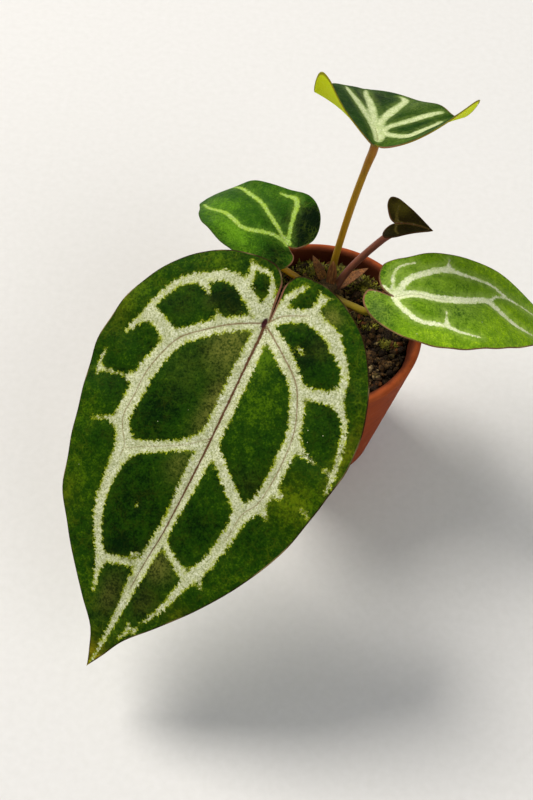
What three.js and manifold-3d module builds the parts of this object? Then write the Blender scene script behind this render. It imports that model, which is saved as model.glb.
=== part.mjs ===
// A velvet-leaved anthurium in a clay pot: five heart-shaped blades on long stalks that rise from
// one short crown. Millimetres, +Z up. The origin is the centre of the pot's underside.
import * as THREE from 'three';
import { mergeVertices } from 'three/addons/utils/BufferGeometryUtils.js';
import Module from 'manifold-3d';

const wasm = await Module();
wasm.setup();

// Pot: a thrown clay pot with a plain tapering wall and a rounded lip
const RIM_RADIUS = 54;
const POT_HEIGHT = 95;
const WALL = 5;
const LIP = 1.6;
const FOOT_RADIUS = 38;
const FOOT_EDGE = 1.5;
const FLOOR = 6;
const INNER_CORNER = 4;
const DRAIN_RADIUS = 4;
const DRAIN_CIRCLE = 18;
const DRAIN_HOLES = 3;
const POT_SIDES = 48;
const DRAIN_SIDES = 16;
const WALL_SLOPE = (RIM_RADIUS - FOOT_RADIUS) / POT_HEIGHT;

// Potting mix
const SOIL_TOP = 86.5;
const SOIL_SHOULDER = 1.5;
const SOIL_SIDES = 36;
const GRANULES = 125;
const GRANULE_MIN = 2.9;
const GRANULE_MAX = 4.8;
const GRANULE_SIDE_SPREAD = 0.22;
const GRANULE_FLATTEST = 0.75;
const GRANULE_ROUNDEST = 0.95;
const GRANULE_LOWEST = -0.5;
const GRANULE_HIGHEST = 0.7;
const GRANULE_STRAY = 0.25;
const GRANULE_SEED = 41;

// Crown: the short stem that every stalk grows from, set towards the back of the pot.
// Its profile is given as a share of its radius against the height.
const CROWN_X = 3;
const CROWN_Y = 21;
const CROWN_TOP = 102;
const CROWN_BOTTOM = 60;
const CROWN_RADIUS = 7;
const CROWN_SIDES = 20;
const CROWN_PROFILE = [[0.55, CROWN_BOTTOM], [0.85, 69], [1, 82.5], [1, 91.5], [0.86, 97], [0.5, 101]];

// Leaves. A blade's cup, lobe rise and curl are its rise in millimetres at 10 mm.
const BLADE = 0.9;
const GAP = 0.3;
const MIDRIB_SOFTNESS = 5;
const TEN_SQUARED = 100;

// Stalks: a foot that flares, and a knee that swells towards the blade
const STALK_SIDES = 10;
const STALK_STEPS = 15;
const SEAT_Y = 1.5;
const FLARE_END = 0.22;
const KNEE_START = 0.8;
const KNEE_WAVE = 0.6;

const degrees = Math.PI / 180;

// Materials, one for each kind of piece
const clay = new THREE.MeshStandardMaterial({ color: 0xb5643c, roughness: 0.9, metalness: 0 });
const mix = new THREE.MeshStandardMaterial({ color: 0x5a3f2a, roughness: 1, metalness: 0 });
const velvet = new THREE.MeshStandardMaterial({ color: 0x2f4f14, roughness: 0.75, metalness: 0 });
const youngVelvet = new THREE.MeshStandardMaterial({ color: 0x4a3d1c, roughness: 0.7, metalness: 0 });
const oliveStalk = new THREE.MeshStandardMaterial({ color: 0x9a8330, roughness: 0.55, metalness: 0 });
const rosyStalk = new THREE.MeshStandardMaterial({ color: 0x8e6250, roughness: 0.55, metalness: 0 });
const crownBark = new THREE.MeshStandardMaterial({ color: 0x6b5430, roughness: 0.9, metalness: 0 });
const sheath = new THREE.MeshStandardMaterial({ color: 0xb07a3c, roughness: 0.8, metalness: 0 });

// Each leaf's junction is the point where its stalk meets the blade. It heads away from there,
// in degrees round from +X, pitched down by its pitch and rolled down to its right by its roll.
// Margin points run from the notch between the lobes to the tip, in the flat leaf: x across
// (right as seen from the stalk), y along the midrib. A wave is given as its rise, wavelength,
// phase and side. A stalk's route starts inside the crown.
const LEAVES = {
  leaf_front: {
    junction: [-27, -55, 161],
    heading: 240.2,
    pitch: 30,
    roll: 0,
    arch: 22,
    length: 186,
    halfWidth: 67,
    fold: 0,
    cup: -0.06,
    channel: 1.2,
    funnel: 2.6,
    funnelRadius: 14,
    lobeRise: 0.25,
    waves: [[1.6, 74, 0.1, 1], [1.8, 66, 0.45, -1]],
    notch: [0.2, -2],
    plusSide: [[1.1, -7], [2.3, -14], [3.4, -20.5], [9, -25.5], [19, -25.5], [32, -22], [43, -15.8],
      [52, -7.3], [61.3, 8], [67.2, 26], [69, 47], [62.2, 71], [55.6, 94], [49.4, 115], [38.5, 129.5],
      [27, 143], [16, 155.3], [6.3, 166], [2.3, 177]],
    minusSide: [[0.6, -7], [1.2, -14], [1.5, -20.5], [-2, -26.5], [-9, -28], [-19, -27.8], [-31.5, -23.3],
      [-44.7, -14.2], [-56.5, 2.2], [-63.4, 20.5], [-66, 39], [-64, 58], [-61.4, 73], [-57.7, 88],
      [-49, 108.5], [-37, 129], [-23.3, 148], [-11.7, 163], [-5.2, 176]],
    columns: 60,
    rows: 7,
    material: velvet,
    stalk: {
      name: 'stalk_front',
      route: [[1.4, 15, 96], [-6, -6, 117], [-15, -31, 139]],
      base: 2.9,
      waist: 2.1,
      knee: 2.7,
      material: oliveStalk,
    },
  },
  leaf_right: {
    junction: [34, -14, 141],
    heading: 10,
    pitch: 2,
    roll: 2,
    arch: 44,
    length: 100,
    halfWidth: 30,
    fold: 0.04,
    cup: 0.08,
    channel: 0.8,
    funnel: 1.4,
    funnelRadius: 7,
    lobeRise: 0.5,
    waves: [[1, 42, 0.2, 1], [1, 38, 0.6, -1]],
    notch: [-0.4, -1.2],
    plusSide: [[-1.2, -4], [-3, -9], [-3.2, -13.5], [1.2, -16.4], [7.4, -16.3], [15, -12.9],
      [22.6, -5.2], [28.8, 3.3], [31.3, 13.3], [31.6, 26], [30, 41.5], [25, 57.5], [18.6, 73], [11, 87],
      [4.3, 95]],
    minusSide: [[-1.8, -3.6], [-4.2, -6.2], [-8.2, -7.3], [-12.4, -6.7], [-17.5, -4], [-20.6, 2],
      [-22.2, 9], [-24.4, 18], [-25, 28], [-25.3, 42], [-22, 56], [-16.2, 69.8], [-9, 83.5], [-3.3, 94.5]],
    columns: 44,
    rows: 6,
    material: velvet,
    stalk: {
      name: 'stalk_right',
      route: [[7.2, 16.2, 95], [16, 7, 102], [22.5, -5, 114], [28, -12, 127]],
      base: 2.6,
      waist: 1.9,
      knee: 2.3,
      material: oliveStalk,
    },
  },
  leaf_left: {
    junction: [-20, 23, 128],
    heading: 137,
    pitch: -20,
    roll: 3,
    arch: 78,
    length: 71,
    halfWidth: 29,
    fold: 0.04,
    cup: 0.3,
    channel: 0.8,
    funnel: 1.2,
    funnelRadius: 7,
    lobeRise: 0.6,
    waves: [[1.3, 36, 0.1, 1], [1, 40, 0.5, -1]],
    notch: [0, -1.2],
    plusSide: [[0.8, -3.5], [2.8, -5.3], [7, -6.4], [13, -6.2], [19, -3], [24, 3], [26.8, 11],
      [24.6, 20.4], [20.3, 31], [18, 42.2], [14, 53], [8, 61.5], [3, 68]],
    minusSide: [[-0.8, -4], [-2, -8], [-6, -10], [-12, -9.8], [-19, -7], [-25.5, 0], [-29, 10],
      [-30.3, 21], [-28.2, 32], [-22.2, 43], [-14.4, 52.5], [-8.3, 61.5], [-3, 68]],
    columns: 44,
    rows: 6,
    material: velvet,
    stalk: {
      name: 'stalk_left',
      route: [[-2.5, 20.2, 95], [-12.5, 24.5, 98.5], [-23, 26, 106], [-25, 25, 116]],
      base: 2.5,
      waist: 1.7,
      knee: 2.1,
      material: oliveStalk,
    },
  },
  leaf_back: {
    junction: [16, 29, 199],
    heading: 91.2,
    pitch: 19.6,
    roll: 7.6,
    arch: 14.4,
    length: 84,
    halfWidth: 34,
    fold: 0.21,
    cup: 0.22,
    channel: 0.8,
    funnel: 1.5,
    funnelRadius: 8,
    lobeRise: 1.5,
    waves: [[1.5, 40, 0.3, 1], [1.5, 44, 0.1, -1]],
    curl: { rise: 6.8, start: -5.4, angle: 55.4, plusShare: 0.27 },
    notch: [0, -1.4],
    plusSide: [[1, -2.8], [2.6, -6.5], [6.4, -10.6], [12.1, -12.6], [18.6, -12], [26, -9.4],
      [34.1, -4.2], [41.3, 4], [40.3, 15.6], [34.4, 30], [28.7, 43.7], [20, 60], [11, 73], [4, 81]],
    minusSide: [[-0.9, -4], [-2.8, -6.2], [-6.6, -5], [-11.1, -1.7], [-15.9, 1.3], [-20.6, 3.2],
      [-27.6, 6.3], [-32.3, 13], [-31.2, 25], [-26.3, 38.3], [-18.8, 55.6], [-10.4, 69.5],
      [-3.9, 79.5]],
    columns: 44,
    rows: 6,
    material: velvet,
    stalk: {
      name: 'stalk_back',
      route: [[3.4, 25, 99], [6, 27.6, 125], [10, 29.2, 158], [13.8, 29, 184]],
      base: 2.6,
      waist: 1.8,
      knee: 2.1,
      material: oliveStalk,
    },
  },
  leaf_new: {
    junction: [33.4, 34.7, 138],
    heading: 2,
    pitch: -2,
    roll: 0,
    arch: 30,
    length: 20,
    halfWidth: 13,
    fold: 0.35,
    cup: 0.4,
    channel: 0.3,
    funnel: 0.6,
    funnelRadius: 3,
    lobeRise: 1,
    waves: [],
    notch: [0, -0.8],
    plusSide: [[0.6, -2], [2.5, -4], [6.5, -6.2], [11.5, -7], [14.5, -5.3], [13.3, -1], [10, 4],
      [6.8, 9], [3.8, 14], [1.5, 17.8]],
    minusSide: [[-0.6, -2], [-2.5, -3.5], [-6, -4.4], [-10, -4.6], [-13.2, -3], [-12.8, 0.5], [-9.8, 5],
      [-6.8, 9.5], [-3.8, 14], [-1.5, 17.8]],
    columns: 28,
    rows: 4,
    material: youngVelvet,
    stalk: {
      name: 'stalk_new',
      route: [[7, 22.5, 97], [13.4, 29, 105], [28.7, 33.4, 126.5]],
      base: 2.4,
      waist: 1.9,
      knee: 1.7,
      material: rosyStalk,
    },
  },
};

// Papery scale leaves that are left round the foot of the stalks
const SCALES = {
  scale_back: {
    junction: [4, 20.8, 100.5],
    heading: 260,
    pitch: -95,
    roll: 0,
    arch: 8,
    length: 19,
    halfWidth: 2.6,
  },
  scale_left: {
    junction: [0.3, 27, 97],
    heading: 116,
    pitch: -16,
    roll: 0,
    arch: 12,
    length: 15,
    halfWidth: 2.6,
  },
  scale_right: {
    junction: [8, 26, 92.5],
    heading: 42,
    pitch: -13,
    roll: 0,
    arch: 22,
    length: 22,
    halfWidth: 3,
  },
};
const SCALE_THICKNESS = 0.8;

const model = new THREE.Group();

function addPart(name, geometry, material) {
  const mesh = new THREE.Mesh(geometry, material);
  mesh.name = name;
  model.add(mesh);
}

// A repeatable random draw between 0 and 1
function makeDraw(seed) {
  let state = seed;
  return () => {
    state = (state * 1664525 + 1013904223) % 4294967296;
    return state / 4294967296;
  };
}

function toSolid(geometry) {
  const bare = geometry.clone();
  bare.deleteAttribute('normal');
  bare.deleteAttribute('uv');
  const merged = mergeVertices(bare, 1e-4);
  return new wasm.Manifold(new wasm.Mesh({
    numProp: 3,
    vertProperties: new Float32Array(merged.attributes.position.array),
    triVerts: new Uint32Array(merged.index.array),
  }));
}

function toGeometry(solid) {
  const mesh = solid.getMesh();
  const geometry = new THREE.BufferGeometry();
  geometry.setAttribute('position', new THREE.BufferAttribute(mesh.vertProperties, 3));
  geometry.setIndex(new THREE.BufferAttribute(mesh.triVerts, 1));
  return geometry;
}

function largestBody(solid) {
  const bodies = solid.decompose();
  return bodies.reduce((best, body) => (body.volume() > best.volume() ? body : best));
}

// A lathe profile is given as [radius, height] pairs and turned about the vertical
function turned(profile, segments) {
  const points = profile.map(([radius, height]) => new THREE.Vector2(radius, height));
  const geometry = new THREE.LatheGeometry(points, segments);
  geometry.rotateX(Math.PI / 2);
  return geometry;
}

function lerp(low, high, share) {
  return low + (high - low) * share;
}

// Height of the leaf's surface above its flat plane: folded along the midrib, cupped, with a
// channel over the midrib, a funnel where the stalk meets it, raised lobes and a waved margin.
// A curl lifts the shoulders beyond a slanting line on each side of the midrib.
function relief(leaf, x, y) {
  let height = leaf.fold * (Math.hypot(x, MIDRIB_SOFTNESS) - MIDRIB_SOFTNESS);
  height += leaf.cup * x * x / TEN_SQUARED;
  height -= leaf.channel * Math.exp(-((x / MIDRIB_SOFTNESS) ** 2));
  height -= leaf.funnel * Math.exp(-(x * x + y * y) / leaf.funnelRadius ** 2);
  height += leaf.lobeRise * Math.max(0, -y) ** 2 / TEN_SQUARED;
  const share = Math.abs(x) / leaf.halfWidth;
  for (const [rise, wavelength, phase, side] of leaf.waves) {
    if (x * side > 0) {
      height += rise * share ** 2 * Math.sin(2 * Math.PI * (y / wavelength + phase));
    }
  }
  if (leaf.curl) {
    const { rise, start, angle, plusShare } = leaf.curl;
    const slant = Math.abs(x) * Math.cos(angle * degrees) - y * Math.sin(angle * degrees);
    const sideShare = share * (x > 0 ? plusShare : 1);
    height += rise * sideShare * Math.max(0, slant - start) ** 2 / TEN_SQUARED;
  }
  return height;
}

// The leaf's own axes: across (x), along the midrib (y) and out of the upper face
function leafAxes(leaf) {
  const heading = leaf.heading * degrees;
  const pitch = leaf.pitch * degrees;
  const roll = leaf.roll * degrees;
  const along = new THREE.Vector3(Math.cos(heading) * Math.cos(pitch),
    Math.sin(heading) * Math.cos(pitch), -Math.sin(pitch));
  const level = new THREE.Vector3(Math.sin(heading), -Math.cos(heading), 0);
  const upright = level.clone().cross(along);
  const across = level.multiplyScalar(Math.cos(roll)).addScaledVector(upright, -Math.sin(roll));
  const out = across.clone().cross(along);
  return { across, along, out };
}

// A point of the flat leaf laid on the drooping blade: the midrib is an arc of a circle
function onBlade(leaf, x, y) {
  const { across, along, out } = leafAxes(leaf);
  const turn = leaf.arch * degrees / leaf.length;
  const height = relief(leaf, x, y);
  const forward = Math.sin(turn * y) / turn + height * Math.sin(turn * y);
  const upward = (Math.cos(turn * y) - 1) / turn + height * Math.cos(turn * y);
  return new THREE.Vector3(...leaf.junction)
    .addScaledVector(across, x)
    .addScaledVector(along, forward)
    .addScaledVector(out, upward);
}

function bladeNormal(leaf, x, y) {
  const step = 0.05;
  const across = onBlade(leaf, x + step, y).sub(onBlade(leaf, x - step, y));
  const along = onBlade(leaf, x, y + step).sub(onBlade(leaf, x, y - step));
  return across.cross(along).normalize();
}

// The flat margin: a smooth curve up each side, meeting in a corner at the notch and at the tip
function marginPoints(leaf) {
  const tip = [0, leaf.length];
  const side = (points) => new THREE.SplineCurve([leaf.notch, ...points, tip]
    .map(([x, y]) => new THREE.Vector2(x, y)));
  const plus = side(leaf.plusSide);
  const minus = side(leaf.minusSide);
  const half = leaf.columns / 2;
  const points = [];
  for (let i = 0; i < half; i += 1) {
    points.push(plus.getPoint(i / half));
  }
  for (let i = 0; i < half; i += 1) {
    points.push(minus.getPoint(1 - i / half));
  }
  return points;
}

// A thin closed blade: rings of the margin shrink to the point where the stalk meets the leaf,
// and the upper and lower face share one pattern of triangles
function bladeGeometry(leaf, thickness) {
  const margin = marginPoints(leaf);
  const columns = margin.length;
  const flat = [new THREE.Vector2(0, 0)];
  for (let row = 1; row <= leaf.rows; row += 1) {
    for (const point of margin) {
      flat.push(point.clone().multiplyScalar(row / leaf.rows));
    }
  }
  const positions = [];
  for (const face of [0.5, -0.5]) {
    for (const { x, y } of flat) {
      const point = onBlade(leaf, x, y).addScaledVector(bladeNormal(leaf, x, y), face * thickness);
      positions.push(point.x, point.y, point.z);
    }
  }
  const under = flat.length;
  const triangles = [];
  const addBoth = (a, b, c) => {
    triangles.push(a, b, c);
    triangles.push(a + under, c + under, b + under);
  };
  const at = (row, column) => 1 + (row - 1) * columns + (column % columns);
  for (let column = 0; column < columns; column += 1) {
    addBoth(0, at(1, column), at(1, column + 1));
    for (let row = 1; row < leaf.rows; row += 1) {
      addBoth(at(row, column), at(row + 1, column), at(row + 1, column + 1));
      addBoth(at(row, column), at(row + 1, column + 1), at(row, column + 1));
    }
    const here = at(leaf.rows, column);
    const next = at(leaf.rows, column + 1);
    triangles.push(next, here, here + under);
    triangles.push(next, here + under, next + under);
  }
  const geometry = new THREE.BufferGeometry();
  geometry.setAttribute('position', new THREE.Float32BufferAttribute(positions, 3));
  geometry.setIndex(triangles);
  return geometry;
}

// A stalk runs from the crown to the blade's underside, flared at its foot and with a swollen
// knee below the blade, which it meets square on
function stalkGeometry(leaf) {
  const { route, base, waist, knee } = leaf.stalk;
  const seatNormal = bladeNormal(leaf, 0, SEAT_Y);
  const end = onBlade(leaf, 0, SEAT_Y).addScaledVector(seatNormal, -(BLADE / 2 + GAP));
  const below = end.clone().addScaledVector(seatNormal, -2 * knee);
  const points = [...route.map((point) => new THREE.Vector3(...point)), below, end];
  const curve = new THREE.CatmullRomCurve3(points);
  const frames = curve.computeFrenetFrames(STALK_STEPS, false);
  const positions = [];
  for (let step = 0; step <= STALK_STEPS; step += 1) {
    const share = step / STALK_STEPS;
    const flare = Math.max(0, 1 - share / FLARE_END) ** 2;
    const swell = Math.sin(Math.max(0, (share - KNEE_START) / (1 - KNEE_START)) * Math.PI * KNEE_WAVE);
    const radius = waist + (base - waist) * flare + (knee - waist) * swell;
    const centre = curve.getPointAt(share);
    for (let side = 0; side < STALK_SIDES; side += 1) {
      const angle = 2 * Math.PI * side / STALK_SIDES;
      const point = centre.clone()
        .addScaledVector(frames.normals[step], radius * Math.cos(angle))
        .addScaledVector(frames.binormals[step], radius * Math.sin(angle));
      positions.push(point.x, point.y, point.z);
    }
  }
  const foot = positions.length / 3;
  positions.push(...points[0].toArray(), ...end.toArray());
  const triangles = [];
  for (let side = 0; side < STALK_SIDES; side += 1) {
    const next = (side + 1) % STALK_SIDES;
    triangles.push(foot, next, side);
    const last = STALK_STEPS * STALK_SIDES;
    triangles.push(foot + 1, last + side, last + next);
    for (let step = 0; step < STALK_STEPS; step += 1) {
      const low = step * STALK_SIDES;
      const high = low + STALK_SIDES;
      triangles.push(low + side, low + next, high + next);
      triangles.push(low + side, high + next, high + side);
    }
  }
  const geometry = new THREE.BufferGeometry();
  geometry.setAttribute('position', new THREE.Float32BufferAttribute(positions, 3));
  geometry.setIndex(triangles);
  return geometry;
}

// A scale leaf is a narrow folded blade with a plain pointed outline, given as shares of its
// half width and of its length
const SCALE_OUTLINE = [[0.75, 0], [1, 0.3], [0.8, 0.6], [0.4, 0.85]];
const SCALE_HEEL = 0.12;

function scaleLeaf(scale) {
  const side = (sign) => SCALE_OUTLINE
    .map(([width, along]) => [sign * width * scale.halfWidth, along * scale.length]);
  return {
    ...scale,
    fold: 0.3,
    cup: 4,
    channel: 0,
    funnel: 0,
    funnelRadius: 1,
    lobeRise: 0,
    waves: [],
    notch: [0, -SCALE_HEEL * scale.length],
    plusSide: side(1),
    minusSide: side(-1),
    columns: 16,
    rows: 3,
  };
}

// The crown, or with a margin the space that it takes from its neighbours
function crownSolid(margin) {
  const side = CROWN_PROFILE.map(([share, height]) => [share * (CROWN_RADIUS + margin),
    height === CROWN_BOTTOM ? height - margin : height + margin]);
  const profile = [[0, CROWN_BOTTOM - margin], ...side, [0, CROWN_TOP + margin]];
  const geometry = turned(profile, CROWN_SIDES);
  geometry.translate(CROWN_X, CROWN_Y, 0);
  return toSolid(geometry);
}

function buildPot() {
  const outerAt = (height) => FOOT_RADIUS + WALL_SLOPE * height;
  const innerFloor = outerAt(FLOOR) - WALL;
  const middle = POT_HEIGHT / 2;
  const body = turned([
    [0, 0],
    [FOOT_RADIUS - FOOT_EDGE, 0],
    [outerAt(FOOT_EDGE), FOOT_EDGE],
    [outerAt(middle), middle],
    [outerAt(POT_HEIGHT - LIP), POT_HEIGHT - LIP],
    [RIM_RADIUS - LIP / 2, POT_HEIGHT - LIP / 4],
    [RIM_RADIUS - LIP, POT_HEIGHT],
    [RIM_RADIUS - WALL + LIP, POT_HEIGHT],
    [RIM_RADIUS - WALL + LIP / 4, POT_HEIGHT - LIP / 2],
    [outerAt(POT_HEIGHT - LIP) - WALL, POT_HEIGHT - LIP],
    [outerAt(FLOOR + INNER_CORNER) - WALL, FLOOR + INNER_CORNER],
    [innerFloor - INNER_CORNER, FLOOR],
    [0, FLOOR],
  ], POT_SIDES);
  let pot = toSolid(body);
  for (let hole = 0; hole < DRAIN_HOLES; hole += 1) {
    const angle = 2 * Math.PI * hole / DRAIN_HOLES;
    const drill = new THREE.CylinderGeometry(DRAIN_RADIUS, DRAIN_RADIUS, 3 * FLOOR, DRAIN_SIDES);
    drill.rotateX(Math.PI / 2);
    drill.translate(DRAIN_CIRCLE * Math.cos(angle), DRAIN_CIRCLE * Math.sin(angle), FLOOR / 2);
    pot = pot.subtract(toSolid(drill));
  }
  return toGeometry(pot);
}

// Granules lie on the mix in a spiral that covers it evenly, each turned and sized at random
function granuleSolids(coverRadius) {
  const draw = makeDraw(GRANULE_SEED);
  const goldenAngle = Math.PI * (3 - Math.sqrt(5));
  const granules = [];
  for (let i = 0; i < GRANULES; i += 1) {
    const size = lerp(GRANULE_MIN, GRANULE_MAX, draw());
    const radius = Math.sqrt((i + 0.5) / GRANULES) * (coverRadius - GRANULE_MAX);
    const angle = i * goldenAngle + GRANULE_STRAY * draw();
    const long = lerp(1, 1 + GRANULE_SIDE_SPREAD, draw());
    const wide = lerp(1 - GRANULE_SIDE_SPREAD, 1, draw());
    const high = lerp(GRANULE_FLATTEST, GRANULE_ROUNDEST, draw());
    const granule = new THREE.IcosahedronGeometry(size, 0);
    granule.scale(long, wide, high);
    granule.rotateX(Math.PI * draw());
    granule.rotateZ(2 * Math.PI * draw());
    const height = SOIL_TOP + lerp(GRANULE_LOWEST, GRANULE_HIGHEST, draw());
    granule.translate(radius * Math.cos(angle), radius * Math.sin(angle), height);
    granules.push(toSolid(granule));
  }
  return granules;
}

// The potting mix fills the pot up to just under the rim and leaves a hole for the crown
function buildSoil(crownSpace) {
  const radiusAt = (height) => FOOT_RADIUS + WALL_SLOPE * height - WALL - 2 * GAP;
  const bottom = FLOOR + GAP;
  const corner = bottom + INNER_CORNER;
  const body = turned([
    [0, bottom],
    [radiusAt(bottom) - INNER_CORNER, bottom],
    [radiusAt(corner), corner],
    [radiusAt(SOIL_TOP - SOIL_SHOULDER), SOIL_TOP - SOIL_SHOULDER],
    [radiusAt(SOIL_TOP) - SOIL_SHOULDER, SOIL_TOP],
    [0, SOIL_TOP],
  ], SOIL_SIDES);
  const heap = wasm.Manifold.union([toSolid(body), ...granuleSolids(radiusAt(SOIL_TOP))]);
  return toGeometry(largestBody(heap.subtract(crownSpace)));
}

function buildLeaves(crownSpace) {
  for (const [name, leaf] of Object.entries(LEAVES)) {
    addPart(name, bladeGeometry(leaf, BLADE), leaf.material);
    const stalk = largestBody(toSolid(stalkGeometry(leaf)).subtract(crownSpace));
    addPart(leaf.stalk.name, toGeometry(stalk), leaf.stalk.material);
  }
}

function buildScales(crownSpace) {
  for (const [name, scale] of Object.entries(SCALES)) {
    const blade = toSolid(bladeGeometry(scaleLeaf(scale), SCALE_THICKNESS));
    addPart(name, toGeometry(largestBody(blade.subtract(crownSpace))), sheath);
  }
}

const crownSpace = crownSolid(GAP);
addPart('pot', buildPot(), clay);
addPart('soil', buildSoil(crownSpace), mix);
addPart('crown', toGeometry(crownSolid(0)), crownBark);
buildLeaves(crownSpace);
buildScales(crownSpace);

export default model;
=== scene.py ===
"""The looks of a velvet-leaved anthurium in a clay pot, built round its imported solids."""
import math

import bmesh
import bpy
import numpy as np
from mathutils import Matrix, Vector


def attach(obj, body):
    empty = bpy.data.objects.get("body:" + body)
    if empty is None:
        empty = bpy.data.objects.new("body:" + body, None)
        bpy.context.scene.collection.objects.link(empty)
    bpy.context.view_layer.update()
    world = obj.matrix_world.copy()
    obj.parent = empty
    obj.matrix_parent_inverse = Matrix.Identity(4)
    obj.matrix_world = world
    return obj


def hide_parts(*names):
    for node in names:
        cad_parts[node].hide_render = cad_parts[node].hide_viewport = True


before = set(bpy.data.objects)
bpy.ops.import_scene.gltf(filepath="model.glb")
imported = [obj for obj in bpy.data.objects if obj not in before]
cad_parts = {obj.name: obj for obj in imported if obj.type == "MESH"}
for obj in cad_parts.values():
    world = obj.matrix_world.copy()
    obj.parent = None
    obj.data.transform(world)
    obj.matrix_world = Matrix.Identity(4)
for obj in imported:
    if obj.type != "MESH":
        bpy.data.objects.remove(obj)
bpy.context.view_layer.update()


# Studio
# The camera looks down on the plant as a person does who stands over it. Two large soft lamps,
# one behind on the left and one in front on the right, stand over a plain pale floor.
MM = 0.001
PHOTO_WIDTH = 533
PHOTO_HEIGHT = 800
LENS_MM = 60
SENSOR_MM = 36
CAMERA_ELEVATION = math.radians(56.1)
CAMERA_ROLL = math.radians(5.6)
CAMERA_DISTANCE = 686
RIM_CENTRE = Vector((0, 0, 95))
RIM_CENTRE_PIXEL = (319.2, 322.0)
FLOOR_HALF = 4.0
LAMP_WARM = (1.0, 0.97, 0.92)
LAMP_COOL = (0.95, 0.97, 1.0)
SKY_STRENGTH = 0.3


def place_camera():
    """The camera stands where the middle of the pot's rim falls on its pixel: the rim's centre,
    less the distance along the view and less the sideways and upward offset of that pixel."""
    focal_pixels = LENS_MM / SENSOR_MM * PHOTO_HEIGHT
    forward = Vector((0, math.cos(CAMERA_ELEVATION), -math.sin(CAMERA_ELEVATION)))
    level_right = Vector((1, 0, 0))
    level_up = level_right.cross(forward)
    right = math.cos(CAMERA_ROLL) * level_right + math.sin(CAMERA_ROLL) * level_up
    up = math.cos(CAMERA_ROLL) * level_up - math.sin(CAMERA_ROLL) * level_right
    sideways = (RIM_CENTRE_PIXEL[0] - PHOTO_WIDTH / 2) * CAMERA_DISTANCE / focal_pixels
    upward = (PHOTO_HEIGHT / 2 - RIM_CENTRE_PIXEL[1]) * CAMERA_DISTANCE / focal_pixels
    eye = RIM_CENTRE - forward * CAMERA_DISTANCE - right * sideways - up * upward
    data = bpy.data.cameras.new("camera")
    data.lens = LENS_MM
    data.sensor_width = SENSOR_MM
    data.clip_start = 0.01
    data.clip_end = 50
    camera = bpy.data.objects.new("camera", data)
    turn = Matrix((right, up, -forward)).transposed().to_4x4()
    camera.matrix_world = Matrix.Translation(eye * MM) @ turn
    bpy.context.scene.collection.objects.link(camera)
    bpy.context.scene.camera = camera


def add_lamp(name, place, aim, size, power, colour):
    data = bpy.data.lights.new(name, "AREA")
    data.shape = "DISK"
    data.size = size
    data.energy = power
    data.color = colour
    lamp = bpy.data.objects.new(name, data)
    lamp.location = place
    lamp.rotation_euler = (Vector(aim) - Vector(place)).to_track_quat("-Z", "Y").to_euler()
    bpy.context.scene.collection.objects.link(lamp)


def linear(colour):
    """A colour given as 0 to 255 on a screen, turned into the shares of light that shaders use."""
    shares = np.array(colour) / 255
    light = np.where(shares <= 0.04045, shares / 12.92, ((shares + 0.055) / 1.055) ** 2.4)
    return (*light.tolist(), 1.0)


def new_material(name, roughness):
    """A node material, with its tree and its main shader."""
    material = bpy.data.materials.new(name)
    material.use_nodes = True
    shader = material.node_tree.nodes["Principled BSDF"]
    shader.inputs["Roughness"].default_value = roughness
    return material, material.node_tree, shader


class Value:
    """A number or colour that differs from place to place on a surface: the output of a node.
    Its sums, differences and products, with another or with a plain number, are Math nodes."""

    def __init__(self, socket):
        self.socket = socket
        self.tree = socket.id_data

    def __add__(self, other):
        return reckon("ADD", self, other)

    def __sub__(self, other):
        return reckon("SUBTRACT", self, other)

    def __mul__(self, other):
        return reckon("MULTIPLY", self, other)


def join(socket, value):
    """Links a node's input to a value, or sets it to a plain number or colour."""
    if isinstance(value, Value):
        value.tree.links.new(value.socket, socket)
    else:
        socket.default_value = value


def add_node(tree, kind, settings, inputs, output=0):
    """Adds a shader node, sets it up, joins its inputs and gives one of its outputs."""
    node = tree.nodes.new("ShaderNode" + kind)
    for key, value in settings.items():
        setattr(node, key, value)
    for key, value in inputs.items():
        join(node.inputs[key], value)
    return Value(node.outputs[output])


def reckon(operation, *values):
    """A Math node. Its first value is a node's output, and the others may be plain numbers."""
    return add_node(values[0].tree, "Math", {"operation": operation}, dict(enumerate(values)))


def mix_colours(share, first, second):
    """The first colour where the share is 0, and the second where it is 1."""
    first, second = (each if isinstance(each, Value) else linear(each) for each in (first, second))
    return add_node(share.tree, "Mix", {"data_type": "RGBA"}, {0: share, 6: first, 7: second}, 2)


def object_place(tree):
    """The place on the piece, in metres."""
    return add_node(tree, "TexCoord", {}, {}, "Object")


def noise(tree, size_mm, detail=2.0, roughness=0.5, stretch=None):
    """Cloudy noise from 0 to 1 whose largest blobs are about size_mm across, or stretched."""
    place = object_place(tree)
    if stretch:
        place = add_node(tree, "Mapping", {}, {"Vector": place, "Scale": stretch})
    return add_node(tree, "TexNoise", {}, {"Scale": 1 / (size_mm * MM), "Detail": detail,
                                           "Roughness": roughness, "Vector": place})


def floor_material():
    """Plain pale paper with a trace of grain."""
    material, tree, shader = new_material("pale_floor", 0.85)
    join(shader.inputs["Base Color"], mix_colours(noise(tree, 4, 3), (214, 212, 208), (224, 222, 219)))
    return material


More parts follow.
